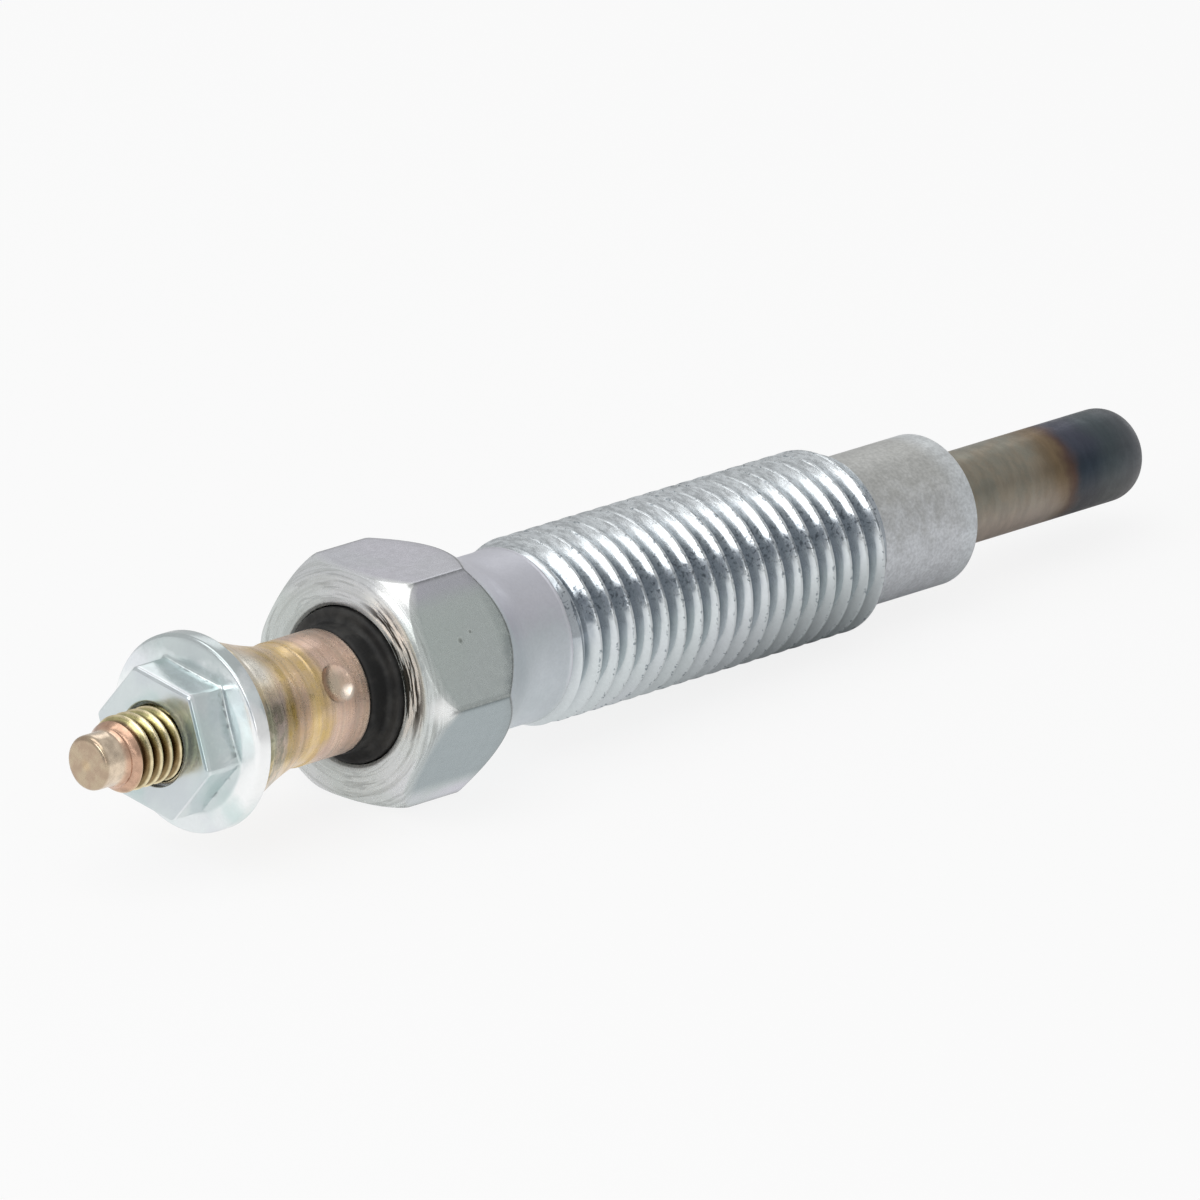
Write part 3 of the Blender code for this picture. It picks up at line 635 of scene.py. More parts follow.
class NodeSheet:
    """Adds nodes to one tree and joins them by their sockets."""

    def __init__(self, tree):
        self.tree = tree
        self.count = 0

    def feed(self, socket, value):
        """Link a signal to a socket, or set its constant; a colour is made opaque."""
        if isinstance(value, Signal):
            self.tree.links.new(value.socket, socket)
        elif socket.type == "RGBA":
            socket.default_value = (*value, 1.0)
        else:
            socket.default_value = value

    def add(self, kind, inputs=None, output=0, **settings):
        """A new node's output as a signal, or all its outputs by name where output is None."""
        node = self.tree.nodes.new(kind)
        for name, value in settings.items():
            setattr(node, name, value)
        for key, value in (inputs or {}).items():
            self.feed(node.inputs[key], value)
        row, column = divmod(self.count, NODES_PER_ROW)
        node.location = (NODE_WIDTH * (column - NODES_PER_ROW), -NODE_HEIGHT * row)
        self.count += 1
        if output is None:
            return {socket.name: Signal(self, socket) for socket in node.outputs}
        return Signal(self, node.outputs[output])

    def mix(self, factor, first, second, blend="MIX"):
        return self.add(
            "ShaderNodeMix", {0: factor, 6: first, 7: second}, 2, data_type="RGBA",
            blend_type=blend)

    def vector(self, operation, first, second=(0.0, 0.0, 0.0), output=0):
        return self.add("ShaderNodeVectorMath", {0: first, 1: second}, output, operation=operation)

    def noise(self, vector, scale, detail, roughness):
        return self.add("ShaderNodeTexNoise", {
            "Vector": vector, "Scale": scale, "Detail": detail, "Roughness": roughness})

    def group(self, name, inputs):
        """The signals of a shared shader group, by name."""
        tree = bpy.data.node_groups.get(name) or GROUP_MAKERS[name]()
        return self.add("ShaderNodeGroup", inputs, output=None, node_tree=tree)

    def bump(self, height, distance, under=None):
        """A normal from a height times a distance in metres, over another bump if given."""
        inputs = {"Height": height, "Distance": distance}
        if under:
            inputs["Normal"] = under
        return self.add("ShaderNodeBump", inputs)


SOCKETS = {"VECTOR": "NodeSocketVector", "VALUE": "NodeSocketFloat", "RGBA": "NodeSocketColor"}


def open_group(name, inputs):
    """A shader group with its named inputs, as a sheet and the signals of those inputs."""
    tree = bpy.data.node_groups.new(name, "ShaderNodeTree")
    for socket, kind in inputs.items():
        tree.interface.new_socket(name=socket, in_out="INPUT", socket_type=SOCKETS[kind])
    sheet = NodeSheet(tree)
    return sheet, sheet.add("NodeGroupInput", output=None)


def close_group(sheet, results):
    """The tree of a group, once its named outputs are made and fed."""
    for name, signal in results.items():
        kind = SOCKETS[signal.socket.type]
        sheet.tree.interface.new_socket(name=name, in_out="OUTPUT", socket_type=kind)
    end = sheet.tree.nodes.new("NodeGroupOutput")
    end.location = (NODE_WIDTH, 0)
    for name, signal in results.items():
        sheet.feed(end.inputs[name], signal)
    return sheet.tree


def group_plug_axis():
    """Object coordinates turned onto the plug's axis, in millimetres.

    Depth runs along the axis, side and up lie across it, radius is the distance from it,
    and ring is depth plus a part of the radius, so that it also changes over end faces.
    """
    place = bpy.context.scene.glow_plug.place
    sheet, given = open_group("plug_axis", {"Position": "VECTOR"})
    moved = sheet.vector("SUBTRACT", given["Position"], (place.start, 0.0, place.height))
    turned = sheet.add(
        "ShaderNodeVectorRotate",
        {"Vector": moved, "Axis": (0.0, 1.0, 0.0), "Angle": -place.tilt},
        rotation_type="AXIS_ANGLE")
    local = sheet.vector("MULTIPLY", turned, (MM_PER_METRE,) * 3)
    parts = sheet.add("ShaderNodeSeparateXYZ", {0: local}, None)
    across = sheet.add("ShaderNodeCombineXYZ", {"Y": parts["Y"], "Z": parts["Z"]})
    radius = sheet.vector("LENGTH", across, output="Value")
    return close_group(sheet, {
        "Local": local, "Depth": parts["X"], "Side": parts["Y"], "Up": parts["Z"],
        "Radius": radius, "Ring": parts["X"] + radius * 0.8})


def group_turned_marks():
    """Fine rings left by a lathe tool: noise of the ring value that drifts a little."""
    sheet, given = open_group("turned_marks", {
        "Local": "VECTOR", "Ring": "VALUE", "Fineness": "VALUE", "Drift": "VALUE"})
    parts = sheet.add("ShaderNodeSeparateXYZ", {0: given["Local"]}, None)
    rings = sheet.add("ShaderNodeCombineXYZ", {
        "X": given["Ring"] * given["Fineness"], "Y": parts["Y"] * given["Drift"],
        "Z": parts["Z"] * given["Drift"]})
    return close_group(sheet, {
        "Height": sheet.noise(rings, 1.0, 3.0, 0.6),
        "Mask": sheet.noise(rings, 0.37, 2.0, 0.5).span(0.42, 0.62)})


def group_plating_tint():
    """Passivated plate: a base colour that drifts towards two casts in soft clouds."""
    sheet, given = open_group("plating_tint", {
        "Local": "VECTOR", "Base": "RGBA", "First Cast": "RGBA", "Second Cast": "RGBA",
        "Clouds per mm": "VALUE"})
    scale = given["Clouds per mm"]
    elsewhere = sheet.vector("ADD", given["Local"], (31.7, 12.3, 5.1))
    first = sheet.noise(given["Local"], scale, 2.0, 0.45).span(0.42, 0.62)
    second = sheet.noise(elsewhere, scale * 1.3, 2.0, 0.45).span(0.44, 0.66)
    tinted = given["Base"].paint(given["First Cast"], first)
    return close_group(sheet, {"Color": tinted.paint(given["Second Cast"], second)})


def group_fine_grain():
    """Speckle of a plated or moulded skin: a height and a roughness between two limits."""
    sheet, given = open_group("fine_grain", {
        "Local": "VECTOR", "Grains per mm": "VALUE", "Smoothest": "VALUE", "Roughest": "VALUE"})
    fine = sheet.noise(given["Local"], given["Grains per mm"], 3.0, 0.6)
    broad = sheet.noise(given["Local"], given["Grains per mm"] * 0.13, 2.0, 0.5)
    spread = (fine * 0.5 + broad * 0.5).span(0.38, 0.62)
    roughness = given["Smoothest"] + spread * (given["Roughest"] - given["Smoothest"])
    return close_group(sheet, {"Height": fine, "Roughness": roughness})


def group_spot():
    """A round spot about a centre: one in the middle, falling to zero at its size."""
    sheet, given = open_group("spot", {"Local": "VECTOR", "Centre": "VECTOR", "Size": "VALUE"})
    away = sheet.vector("DISTANCE", given["Local"], given["Centre"], "Value")
    return close_group(sheet, {"Mask": away.math("DIVIDE", given["Size"]).span(0.2, 1.0, 1.0, 0.0)})


GROUP_MAKERS = {
    "plug_axis": group_plug_axis,
    "turned_marks": group_turned_marks,
    "plating_tint": group_plating_tint,
    "fine_grain": group_fine_grain,
    "spot": group_spot,
}


class Finish(NodeSheet):
    """A material of the plug, with the axis coordinates ready as signals."""

    def __init__(self, name, metallic):
        self.material = bpy.data.materials.new(name)
        self.material.use_nodes = True
        super().__init__(self.material.node_tree)
        self.shader = self.tree.nodes["Principled BSDF"]
        self.shader.inputs["Metallic"].default_value = metallic
        position = self.add("ShaderNodeTexCoord", output="Object")
        axis = self.group("plug_axis", {"Position": position})
        self.local = axis["Local"]
        self.depth = axis["Depth"]
        self.side = axis["Side"]
        self.up = axis["Up"]
        self.radius = axis["Radius"]
        self.ring = axis["Ring"]

    def clouds(self, per_mm, detail, roughness):
        return self.noise(self.local, per_mm, detail, roughness)

    def stretched(self, size, per_mm, detail, roughness):
        """Noise with its own scale along each of the three axes."""
        return self.noise(self.vector("MULTIPLY", self.local, size), per_mm, detail, roughness)

    def tint(self, base, first, second, per_mm):
        return self.group("plating_tint", {
            "Local": self.local, "Base": base, "First Cast": first, "Second Cast": second,
            "Clouds per mm": per_mm})["Color"]

    def grain(self, per_mm, smoothest, roughest):
        """Height and roughness of a fine grain."""
        found = self.group("fine_grain", {
            "Local": self.local, "Grains per mm": per_mm, "Smoothest": smoothest,
            "Roughest": roughest})
        return found["Height"], found["Roughness"]

    def rings(self, fineness, drift):
        """Height of turned rings, and a mask of broader ones."""
        found = self.group("turned_marks", {
            "Local": self.local, "Ring": self.ring, "Fineness": fineness, "Drift": drift})
        return found["Height"], found["Mask"]

    def spot(self, centre, size):
        return self.group("spot", {"Local": self.local, "Centre": centre, "Size": size})["Mask"]

    def spots(self, places):
        """The stronger of several spots, each with its centre and size."""
        first, *others = [self.spot(centre, size) for centre, size in places]
        for other in others:
            first = first.most(other)
        return first

    def bands(self, along, colour, changes):
        """A colour that gives way to others along the axis, from (start, end, colour) rows."""
        for start, end, following in changes:
            colour = self.mix(along.span(start, end), colour, following)
        return colour

    def mark(self, name):
        """A point attribute of the surface."""
        return self.add("ShaderNodeAttribute", output="Fac", attribute_name=name)

    def done(self, base, roughness, normal, metallic=None):
        """The material, with its signals joined to the shader."""
        ends = {"Base Color": base, "Roughness": roughness, "Normal": normal}
        if metallic:
            ends["Metallic"] = metallic
        for name, signal in ends.items():
            self.feed(self.shader.inputs[name], signal)
        return self.material


def finish_zinc(colours):
    """Zinc plate: casts of green and lavender, turned crown, bright thread, satin nose, and painted
    light, shade and reflections in places.
    """
    zinc = Finish("zinc_plate", 1.0)
    depth, radius, side, up = zinc.depth, zinc.radius, zinc.side, zinc.up
    grain, rough = zinc.grain(14.0, 0.20, 0.30)
    rings, _ = zinc.rings(6.0, 0.12)
    torn, _ = zinc.rings(5.5, 0.40)
    mottle = zinc.clouds(1.3, 4.0, 0.62)
    speckle = zinc.clouds(5.5, 3.0, 0.6)
    ragged = up + mottle
    crown = zinc.mark("turned")
    nose = depth.span(54.3, 54.7)
    thread = depth.span(30.5, 30.8) * nose.apart()

    # Paler shank, and painted light and shade on the hexagon: lighter lavender on its top, a
    # lighter side flat above the axis, and a darker grey flat below it
    slanting = up.math("ABSOLUTE") * 0.5 + side.math("ABSOLUTE") * math.cos(math.pi / 6)
    on_flat = up.math("ABSOLUTE").most(slanting).span(5.88, 5.96)
    shank = depth.band(22.8, 23.0, 30.2, 30.6) * on_flat.apart()
    base = zinc.tint(colours.zinc, colours.zinc_green, colours.zinc_blue, 1 / 6)
    base = base.paint(SHANK_TONE, shank * 0.9)
    # Painted light: the top of the hexagon and of the shank behind it turns a lighter lavender
    raised = up + depth.span(24.6, 26.0, 0.0, 2.6) + mottle * 1.6
    base = base.paint(colours.zinc_blue, raised.span(4.4, 6.4, 0.0, 0.8))
    # Painted light on the side flat above the axis, and painted shade on the flat below it
    flats = side.span(-3.7, -4.3) * on_flat
    base = base.paint(UPPER_FLAT_LIGHT, flats * 0.85)
    base = base.paint(LOWER_FLAT_SHADE, flats * up.span(0.02, -0.02))
    base = base.paint(colours.thread_zinc, thread * 0.85)

    # Painted shade in the thread's roots, a painted dark reflection over the flanks at mid height,
    # a painted dark belt with dark specks, and nicks on the crests
    # Painted shade in the roots, weaker low and high on the thread
    root = thread * radius.span(4.25, 4.75, 0.75, 0.0)
    root = root * ragged.span(-1.6, 0.8, 0.4, 1.0) * ragged.span(3.8, 5.0, 1.0, 0.35)
    base = base.paint(colours.root_shade_and_nicks, root)
    # Painted dark reflection on the flanks in a band at mid height
    flank = ragged.band(0.4, 1.6, 3.4, 4.2) * radius.span(4.62, 4.88, 0.85, 0.0)
    base = base.paint(THREAD_FLANK_REFLECTION, thread * flank)
    # Painted dark reflection belt along the thread, with dark specks in the same band
    base = base.paint(THREAD_BELT_REFLECTION, thread * ragged.band(2.2, 2.6, 3.1, 3.5) * 0.75)
    specks = ragged.band(1.8, 2.4, 3.8, 4.4) * speckle.span(0.56, 0.61)
    base = base.paint(BELT_REFLECTION_SPECKS, thread * specks * 0.7)
    nicks = thread * radius.span(4.86, 4.92) * zinc.clouds(3.4, 3.0, 0.7).span(0.57, 0.62)
    base = base.paint(colours.root_shade_and_nicks, nicks * 0.75)

    # Rings of the turned crown with painted light and shade over it, painted dark and bright
    # reflections in the torn rings beside the bush, and painted highlights at two corners
    base = base.paint(CROWN_PALE, crown * 0.6)
    # Painted light and shade on the crown: lighter towards the bottom, darker towards the top
    base = base.paint(base.shade(up.span(-4.5, 3.5, 1.16, 0.88)), crown)
    base = base.paint(CROWN_RING, crown * rings.span(0.47, 0.60) * 0.36)
    base = base.paint(CROWN_HAIR, crown * torn.span(0.56, 0.60, 0.0, 0.32))
    beside = crown * side.span(-0.8, -2.6) * radius.span(5.9, 5.2) * ragged.span(-1.8, 0.6)
    # Painted dark and bright reflections in the torn rings beside the bush
    base = base.paint(CROWN_DARK_REFLECTION, beside * torn.span(0.50, 0.54))
    base = base.paint(CROWN_BRIGHT_REFLECTION, beside * torn.span(0.48, 0.44) * 0.9)
    # Painted highlights on the crown at two of its corners
    base = base.paint(CROWN_GLINT, crown * zinc.spots(CROWN_GLINTS))

    # Satin nose with a faint mottle, paler at its end, and painted light and shade that make it
    # greyer on top and paler below
    satin = zinc.mix((up - mottle * 4.0).span(-2.6, 1.6), NOSE_UNDER_LIGHT, NOSE_TOP_SHADE)
    satin = satin.paint(NOSE_RIM, depth.span(59.6, 61.2, 0.0, 0.6))
    satin = satin.shade(speckle.span(0.3, 0.7, 0.88, 1.06))
    satin = satin.shade(mottle.span(0.35, 0.65, 0.94, 1.05))
    base = base.paint(satin, nose)

    # Painted dark reflection along the flats' rear edges and corners, two dents in one flat, and
    # fine speckle over all
    base = base.paint(FLAT_EDGE_REFLECTION, zinc.mark("edge") * speckle.span(0.30, 0.55, 0.55, 0.95))
    dents = zinc.spots(FLAT_DENTS)
    base = base.paint(FLAT_DENT, dents * 0.7)
    base = base.shade(speckle.span(0.3, 0.7, 0.97, 1.02))

    # Streaks along the top of the thread
    streak = zinc.stretched((15.0, 1.6, 1.6), 1.0, 3.0, 0.65)
    brushed = thread * ragged.span(3.2, 4.7)
    base = base.paint(base.shade(streak.span(0.36, 0.62, 0.78, 1.12)), brushed)

    # The crown and the nose scatter more light than the rest
    metal = crown * -0.55 - nose * 0.35 + 1.0
    rough = rough + nose * 0.2 + shank * 0.24 - thread * 0.11 + brushed * 0.14
    height = grain * nose.span(0.0, 1.0, 0.15, 2.2) + rings * (crown * 12.0 - thread * 0.2)
    height = height + brushed * streak * 3.5 - nicks * 4.0
    normal = zinc.bump(dents, DENT_BUMP, zinc.bump(height, ZINC_BUMP))
    return zinc.done(base, rough, normal, metal)


def finish_bright_zinc(colours):
    """Bright zinc on the pressed nut: nearly white, with cyan and blue casts."""
    bright = Finish("bright_zinc_plate", 0.85)
    depth = bright.depth
    grain, rough = bright.grain(6.0, 0.16, 0.26)
    base = bright.tint(colours.nut_zinc, colours.nut_cyan, colours.nut_blue, 1 / 3)

    # Painted reflections on the flange: grey above the hexagon, and a white highlight beside it
    raised = bright.up + bright.clouds(0.9, 3.0, 0.5) * 2.4
    base = base.paint(FLANGE_TOP_REFLECTION, raised.span(4.2, 5.6) * depth.span(6.0, 6.6) * 0.75)
    flange = bright.radius.span(3.95, 4.25)
    base = base.paint(FLANGE_HIGHLIGHT, flange * raised.band(-2.6, -0.6, 2.4, 4.0))

    # Duller flats and front face, and broken painted shade in the crease where the hexagon meets
    # the flange
    base = base.paint(NUT_FLATS, depth.span(4.9, 5.0) * flange.apart() * 0.6)
    base = base.paint(base.shade(NUT_FACE_SHADE), depth.span(4.80, 4.72))
    base = base.shade(grain.span(0.3, 0.7, 0.98, 1.02))
    # Painted shade, broken, in the crease at the foot of the hexagon
    broken = bright.mark("edge") * bright.clouds(2.2, 3.0, 0.6).span(0.50, 0.62)
    base = base.paint(NUT_CREASE_SHADE, broken * 0.75)
    return bright.done(base, rough, bright.bump(grain, NUT_BUMP))


def finish_yellow_zinc(colours):
    """Yellow chromate on the turned collar nut: gold, brown and pink in ring bands."""
    yellow = Finish("yellow_zinc_plate", 1.0)
    depth, up = yellow.depth, yellow.up
    rings, broad_rings = yellow.rings(5.0, 0.16)
    grain, rough = yellow.grain(10.0, 0.14, 0.28)
    drift = yellow.stretched((0.5, 0.3, 0.3), 1.0, 3.0, 0.5) - 0.5

    # From the rim to the barrel, then gold above the flare and below its waist
    base = yellow.bands(depth + drift * 2.0, colours.olive, (
        (8.9, 9.6, colours.mauve), (10.3, 10.9, colours.brown), (11.2, 11.8, colours.pink),
        (12.6, 13.4, colours.gold), (13.8, 14.6, colours.barrel)))
    base = base.paint(colours.gold, up.span(1.6, 3.0) * depth.span(14.6, 13.4) * 0.75)
    base = base.paint(colours.gold, up.span(0.6, -1.2) * depth.span(13.6, 12.8) * 0.55)
    cloud = yellow.clouds(1.2, 4.0, 0.6).span(0.42, 0.62)
    base = base.paint(colours.mauve, cloud * 0.28)

    # Painted mottled shade near the rim beside the nut's flange, a painted highlight over it,
    # turning rings and speckle
    # Painted mottled shade beside the flange, off the top of the flare
    shading = yellow.clouds(2.0, 4.0, 0.65).span(0.44, 0.56, 0.15, 0.7)
    base = base.paint(COLLAR_RIM_SHADE, shading * depth.span(10.7, 9.9) * up.span(2.6, 1.4))
    # Painted highlight on the upper flare
    base = base.paint(COLLAR_GLINT, yellow.spot(*FLARE_GLINT) * 0.85)
    base = base.paint(COLLAR_RING, rings.span(0.48, 0.62) * 0.24)
    base = base.shade(broad_rings.span(0.0, 1.0, 1.0, 0.84))
    base = base.shade(grain.span(0.35, 0.65, 0.93, 1.05))

    # Punch mark with a painted highlight crescent on its rim, and the pale end face
    base = base.paint(PUNCH_TONE, yellow.spot(*PUNCH_HOLLOW) * 0.75)
    lip_highlight = yellow.spot(*PUNCH_HIGHLIGHT_WHOLE) - yellow.spot(*PUNCH_HIGHLIGHT_LESS)
    base = base.paint(PUNCH_LIP_HIGHLIGHT, lip_highlight.span(0.16, 0.6, 0.0, 0.5))
    base = base.paint(COLLAR_END, depth.span(16.85, 17.0) * 0.6)
    rough = rough + depth.span(10.8, 11.8) * 0.10
    return yellow.done(base, rough, yellow.bump(rings * 5.0 + grain * 0.5, COLLAR_BUMP))


def finish_rod(colours):
    """Chromated stud: beige pilot, copper lead, pale crests, painted shade in the grooves and a
    painted olive sheen on the upper flanks; steel inside.
    """
    rod = Finish("rod_steel", 1.0)
    depth, radius = rod.depth, rod.radius
    clouds = rod.clouds(1.6, 4.0, 0.6)
    grain, rough = rod.grain(8.0, 0.18, 0.32)
    base = rod.mix(clouds.span(0.40, 0.60), colours.stud_beige, PILOT_BROWN)
    base = base.paint(PILOT_MIDDLE, rod.spot(*PILOT_SPOT) * 0.7)
    base = base.paint(PILOT_SIDE, depth.span(0.10, 0.30) * 0.9)
    base = base.paint(colours.stud_copper, depth.band(1.15, 1.5, 2.1, 2.8) * 0.9)

    # The thread has painted shade in its grooves, brown flanks with a painted olive sheen above,
    # and pale crests
    flank = rod.mix(rod.up.span(0.2, 1.5), FLANK_BROWN, FLANK_OLIVE_SHEEN)
    thread = rod.mix(radius.span(1.64, 1.80), colours.stud_groove_shade, flank)
    thread = thread.paint(colours.stud_crest, radius.span(1.84, 1.95))
    base = base.paint(thread, depth.span(1.9, 2.5))
    base = base.shade(clouds.span(0.35, 0.65, 0.82, 1.1))
    base = base.paint(PLAIN_STEEL, depth.span(9.0, 10.0))
    return rod.done(base, rough, rod.bump(grain, STUD_BUMP))


def finish_sheath(colours):
    """Heat-tinted alloy: brown grey, a dark brown band, then blue black and a grey tip."""
    sheath = Finish("heat_tinted_alloy", 1.0)
    up = sheath.up
    drift = sheath.stretched((0.5, 0.8, 0.8), 0.8, 3.0, 0.55) - 0.5
    along = sheath.depth + drift * 1.5
    rings, _ = sheath.rings(2.2, 0.7)
    grain, rough = sheath.grain(8.0, 0.36, 0.50)
    mottle = sheath.clouds(1.1, 4.0, 0.6)
    base = sheath.mix(mottle.span(0.38, 0.62), colours.sheath_grey, SHEATH_MOTTLE)
    base = sheath.bands(along, base, (
        (67.8, 70.0, colours.sheath_straw), (69.9, 70.9, colours.sheath_red),
        (70.7, 71.7, colours.sheath_blue)))
    # Painted sheen: a violet cast on top of the blue band
    base = base.paint(SHEATH_TOP_SHEEN, up.span(0.6, 2.2) * along.span(70.3, 71.5) * 0.6)
    base = sheath.bands(along, base, (
        (72.3, 74.0, SHEATH_TEAL), (73.8, 76.6, colours.sheath_tip)))
    # Painted light: paler on the underside, mostly before the blue band
    base = base.paint(SHEATH_UNDERSIDE_LIGHT, up.span(0.9, -1.6) * along.span(69.0, 70.8, 0.8, 0.15))
    base = base.shade(rings.span(0.35, 0.65, 0.93, 1.06))
    return sheath.done(base, rough, sheath.bump(rings + grain, SHEATH_BUMP))


def finish_bush(colours):
    """Black moulding with a faint grain and a few rubbed, greyer places."""
    bush = Finish("black_moulding", 0.0)
    bush.shader.inputs["Specular IOR Level"].default_value = 0.25
    grain, rough = bush.grain(6.0, 0.50, 0.72)
    rubbed = bush.clouds(0.7, 3.0, 0.5).span(0.42, 0.68)
    base = bush.mix(rubbed * 0.8, colours.bush_black, BUSH_RUBBED)
    return bush.done(base, rough, bush.bump(grain, BUSH_BUMP))


def finish_hidden(name):
    """Finish of a hidden piece: two tones in fine grain, with its own bump."""
    first, second, metallic, roughest, grains, bump = HIDDEN_FINISHES[name]
    hidden = Finish(name, metallic)
    grain, rough = hidden.grain(grains, roughest - 0.15, roughest)
    base = hidden.mix(grain.span(0.4, 0.62), first, second)
    return hidden.done(base, rough, hidden.bump(grain, bump))


class GLOWPLUG_OT_housing(Operator):
    """Hexagon, shank, thread, nose and bores of the zinc-plated housing"""

    bl_idname = "glow_plug.housing"
    bl_label = "Housing"

    def execute(self, context):
        settings = context.scene.glow_plug
        size = settings.housing
        half = size.across_flats / 2
        angles = sector_angles(math.pi / 6, 6, math.radians(3.5), 6, 22)
        hexagon = hexagon_radius(angles, half, 0.0, size.corner_rounding)
        crown_centre = half - size.face_margin - size.crown_radius * math.cos(CROWN_START)
        crown_depth = HEX_FACE + size.crown_radius * math.sin(CROWN_START)
        meets = np.arccos(np.clip((hexagon - crown_centre) / size.crown_radius, -1.0, 1.0))
        crown = arc_corners(
            crown_centre, crown_depth, size.crown_radius, -CROWN_START, -meets, 8)
        slope = math.tan(size.rear_angle)
        rear = FLAT_REAR - (hexagon - half) / slope
        shank_top = FLAT_REAR + (half - size.shank_radius) / slope
        bead = size.shank_radius + size.shank_bead
        start_radius = size.shank_radius - THREAD_STEP
        mouth = size.counterbore + size.mouth_chamfer
        upper = profile_rows([
            (mouth, HEX_FACE, 0.0, 6),
            *crown[:-1],
            (*crown[-1], size.flat_edge, 8),
            (hexagon, rear, size.flat_edge * 1.3, 10),
            (size.shank_radius, shank_top, 0.0012, 6),
            (size.shank_radius, BEAD_START, 0.00004),
            (bead, BEAD_FULL, 0.00003),
            (bead, BEAD_END, 0.00004),
            (start_radius, THREAD_START),
        ], angles)

        # The thread starts and ends on cones, and the first one rises from its step
        crest = THREAD_END - size.thread_lead - CREST_SHARE * size.thread_pitch / 2
        screw = thread_rows(
            angles, size.thread_radius, size.thread_pitch, crest, THREAD_START, THREAD_END)
        radius, depth = screw[..., 0], screw[..., 1]
        rise = (size.thread_radius - start_radius) / size.thread_lead
        fall = (size.thread_radius - size.nose_radius) / size.thread_lead
        radius = np.minimum(radius, start_radius + (depth - THREAD_START) * rise)
        radius = np.minimum(radius, size.nose_radius + (THREAD_END - depth) * fall)
        begun = smooth_step(depth, THREAD_START, THREAD_START + THREAD_BLEND)
        blended = start_radius + (radius - start_radius) * begun
        radius = np.where(radius < start_radius, blended, radius)
        screw = np.stack([radius, depth], axis=-1)

        sheath_hole = settings.sheath.radius + SLIDE_GAP
        sheath_seat = SHEATH_TOP - SEAT_GAP
        bush_seat = BUSH_FLANGE_END + SEAT_GAP
        lower = profile_rows([
            (size.nose_radius, THREAD_END, 0.0, 8),
            (size.nose_radius, NOSE_END, 0.00007, 5),
            (size.seat_radius, HOUSING_END, 0.00005),
            (sheath_hole, HOUSING_END, 0.00004),
            (sheath_hole, sheath_seat),
            (ROD_HOLE, sheath_seat),
            (ROD_HOLE, O_RING_END + O_RING_CONE),
            (O_RING_SEAT, O_RING_END),
            (O_RING_SEAT, bush_seat),
            (size.counterbore, bush_seat, 0.0, 4),
            (size.counterbore, HEX_FACE + size.mouth_chamfer, 0.00004, 2),
            (mouth, HEX_FACE),
        ], angles)
        rows = np.concatenate([upper, screw, lower])
        past_crown = rows[..., 1] - crown[-1][1]
        marks = {
            "edge": hexagon_marks(rows, angles, 0.0, hexagon, rear, 0.7),
            "turned": 1.0 - smooth_step(past_crown, 0.00002, 0.00012)}
        piece = surface("housing_body", rows, angles, marks)
        dress(piece, "housing", finish_zinc(settings.finish))
        return {"FINISHED"}


class GLOWPLUG_OT_sheath(Operator):
    """Heater sheath with its rounded tip and its heat tints"""

    bl_idname = "glow_plug.sheath"
    bl_label = "Heater sheath"

    def execute(self, context):
        settings = context.scene.glow_plug
        size = settings.sheath
        angles = even_angles(128)
        bore = size.radius - size.wall
        flat = size.radius - size.tip_radius
        bottom = SHEATH_TIP - size.floor
        inner = bore - flat
        quarter = math.pi / 2
        rows = profile_rows([
            (0.0, bottom, 0.0, 2),
            *arc_corners(flat, bottom - inner, inner, quarter, 0.0, 6),
            (bore, SHEATH_TOP),
            (size.radius - SHEATH_CHAMFER, SHEATH_TOP),
            (size.radius, SHEATH_TOP + SHEATH_CHAMFER, 0.0, 40),
            *arc_corners(flat, SHEATH_TIP - size.tip_radius, size.tip_radius, 0.0, quarter, 20),
            (flat * 0.5, SHEATH_TIP),
            (0.0, SHEATH_TIP),
        ], angles)
        piece = surface("sheath_tube", rows, angles)
        dress(piece, "heater_sheath", finish_sheath(settings.finish))
        return {"FINISHED"}


class GLOWPLUG_OT_centre_rod(Operator):
    """Terminal stud with its pilot and thread, and the rod inside the housing"""

    bl_idname = "glow_plug.centre_rod"
    bl_label = "Centre rod"

    def execute(self, context):
        settings = context.scene.glow_plug
        size = settings.terminal
        angles = even_angles(120)
        pilot_end = size.pilot_length
        run_out = pilot_end + STUD_THREAD
        screw_end = run_out + size.stud_pitch * RUN_OUT_PITCHES
        upper = profile_rows([
            (0.0, 0.00003),
            (0.00015, 0.0, 0.0, 4),
            (size.pilot_radius, 0.0, 0.00032, 5),
            (size.pilot_radius, pilot_end),
        ], angles)

        # The thread starts on a cone and runs out into the plain stud
        screw = thread_rows(
            angles, size.stud_radius, size.stud_pitch, run_out, pilot_end, screw_end)
        radius, depth = screw[..., 0], screw[..., 1]
        rise = (size.stud_radius - size.pilot_radius) / STUD_CONE
        radius = np.minimum(radius, size.pilot_radius + (depth - pilot_end) * rise)
        ended = smooth_step(depth, run_out, screw_end)
        screw = np.stack([radius + (size.stud_radius - radius) * ended, depth], axis=-1)

        stud_end = BUSH_TOP - SEAT_GAP
        neck_end = SHEATH_TOP + SEAT_GAP
        lower = profile_rows([
            (size.stud_radius, screw_end, 0.0, 4),
            (size.stud_radius, stud_end),
            (size.rod_radius, stud_end + size.stud_radius - size.rod_radius, 0.0, 8),
            (size.rod_radius, neck_end - NECK_CONE, 0.0, 2),
            (NECK_RADIUS, neck_end, 0.0, 6),
            (NECK_RADIUS, ROD_NECK_END),
            (PIN_RADIUS, ROD_NECK_END, 0.0, 2),
            (PIN_RADIUS, ROD_END),
            (0.0, ROD_END),
        ], angles)
        rows = np.concatenate([upper, screw, lower])
        piece = surface("terminal_stud_and_rod", rows, angles)
        dress(piece, "centre_rod", finish_rod(settings.finish))
        return {"FINISHED"}


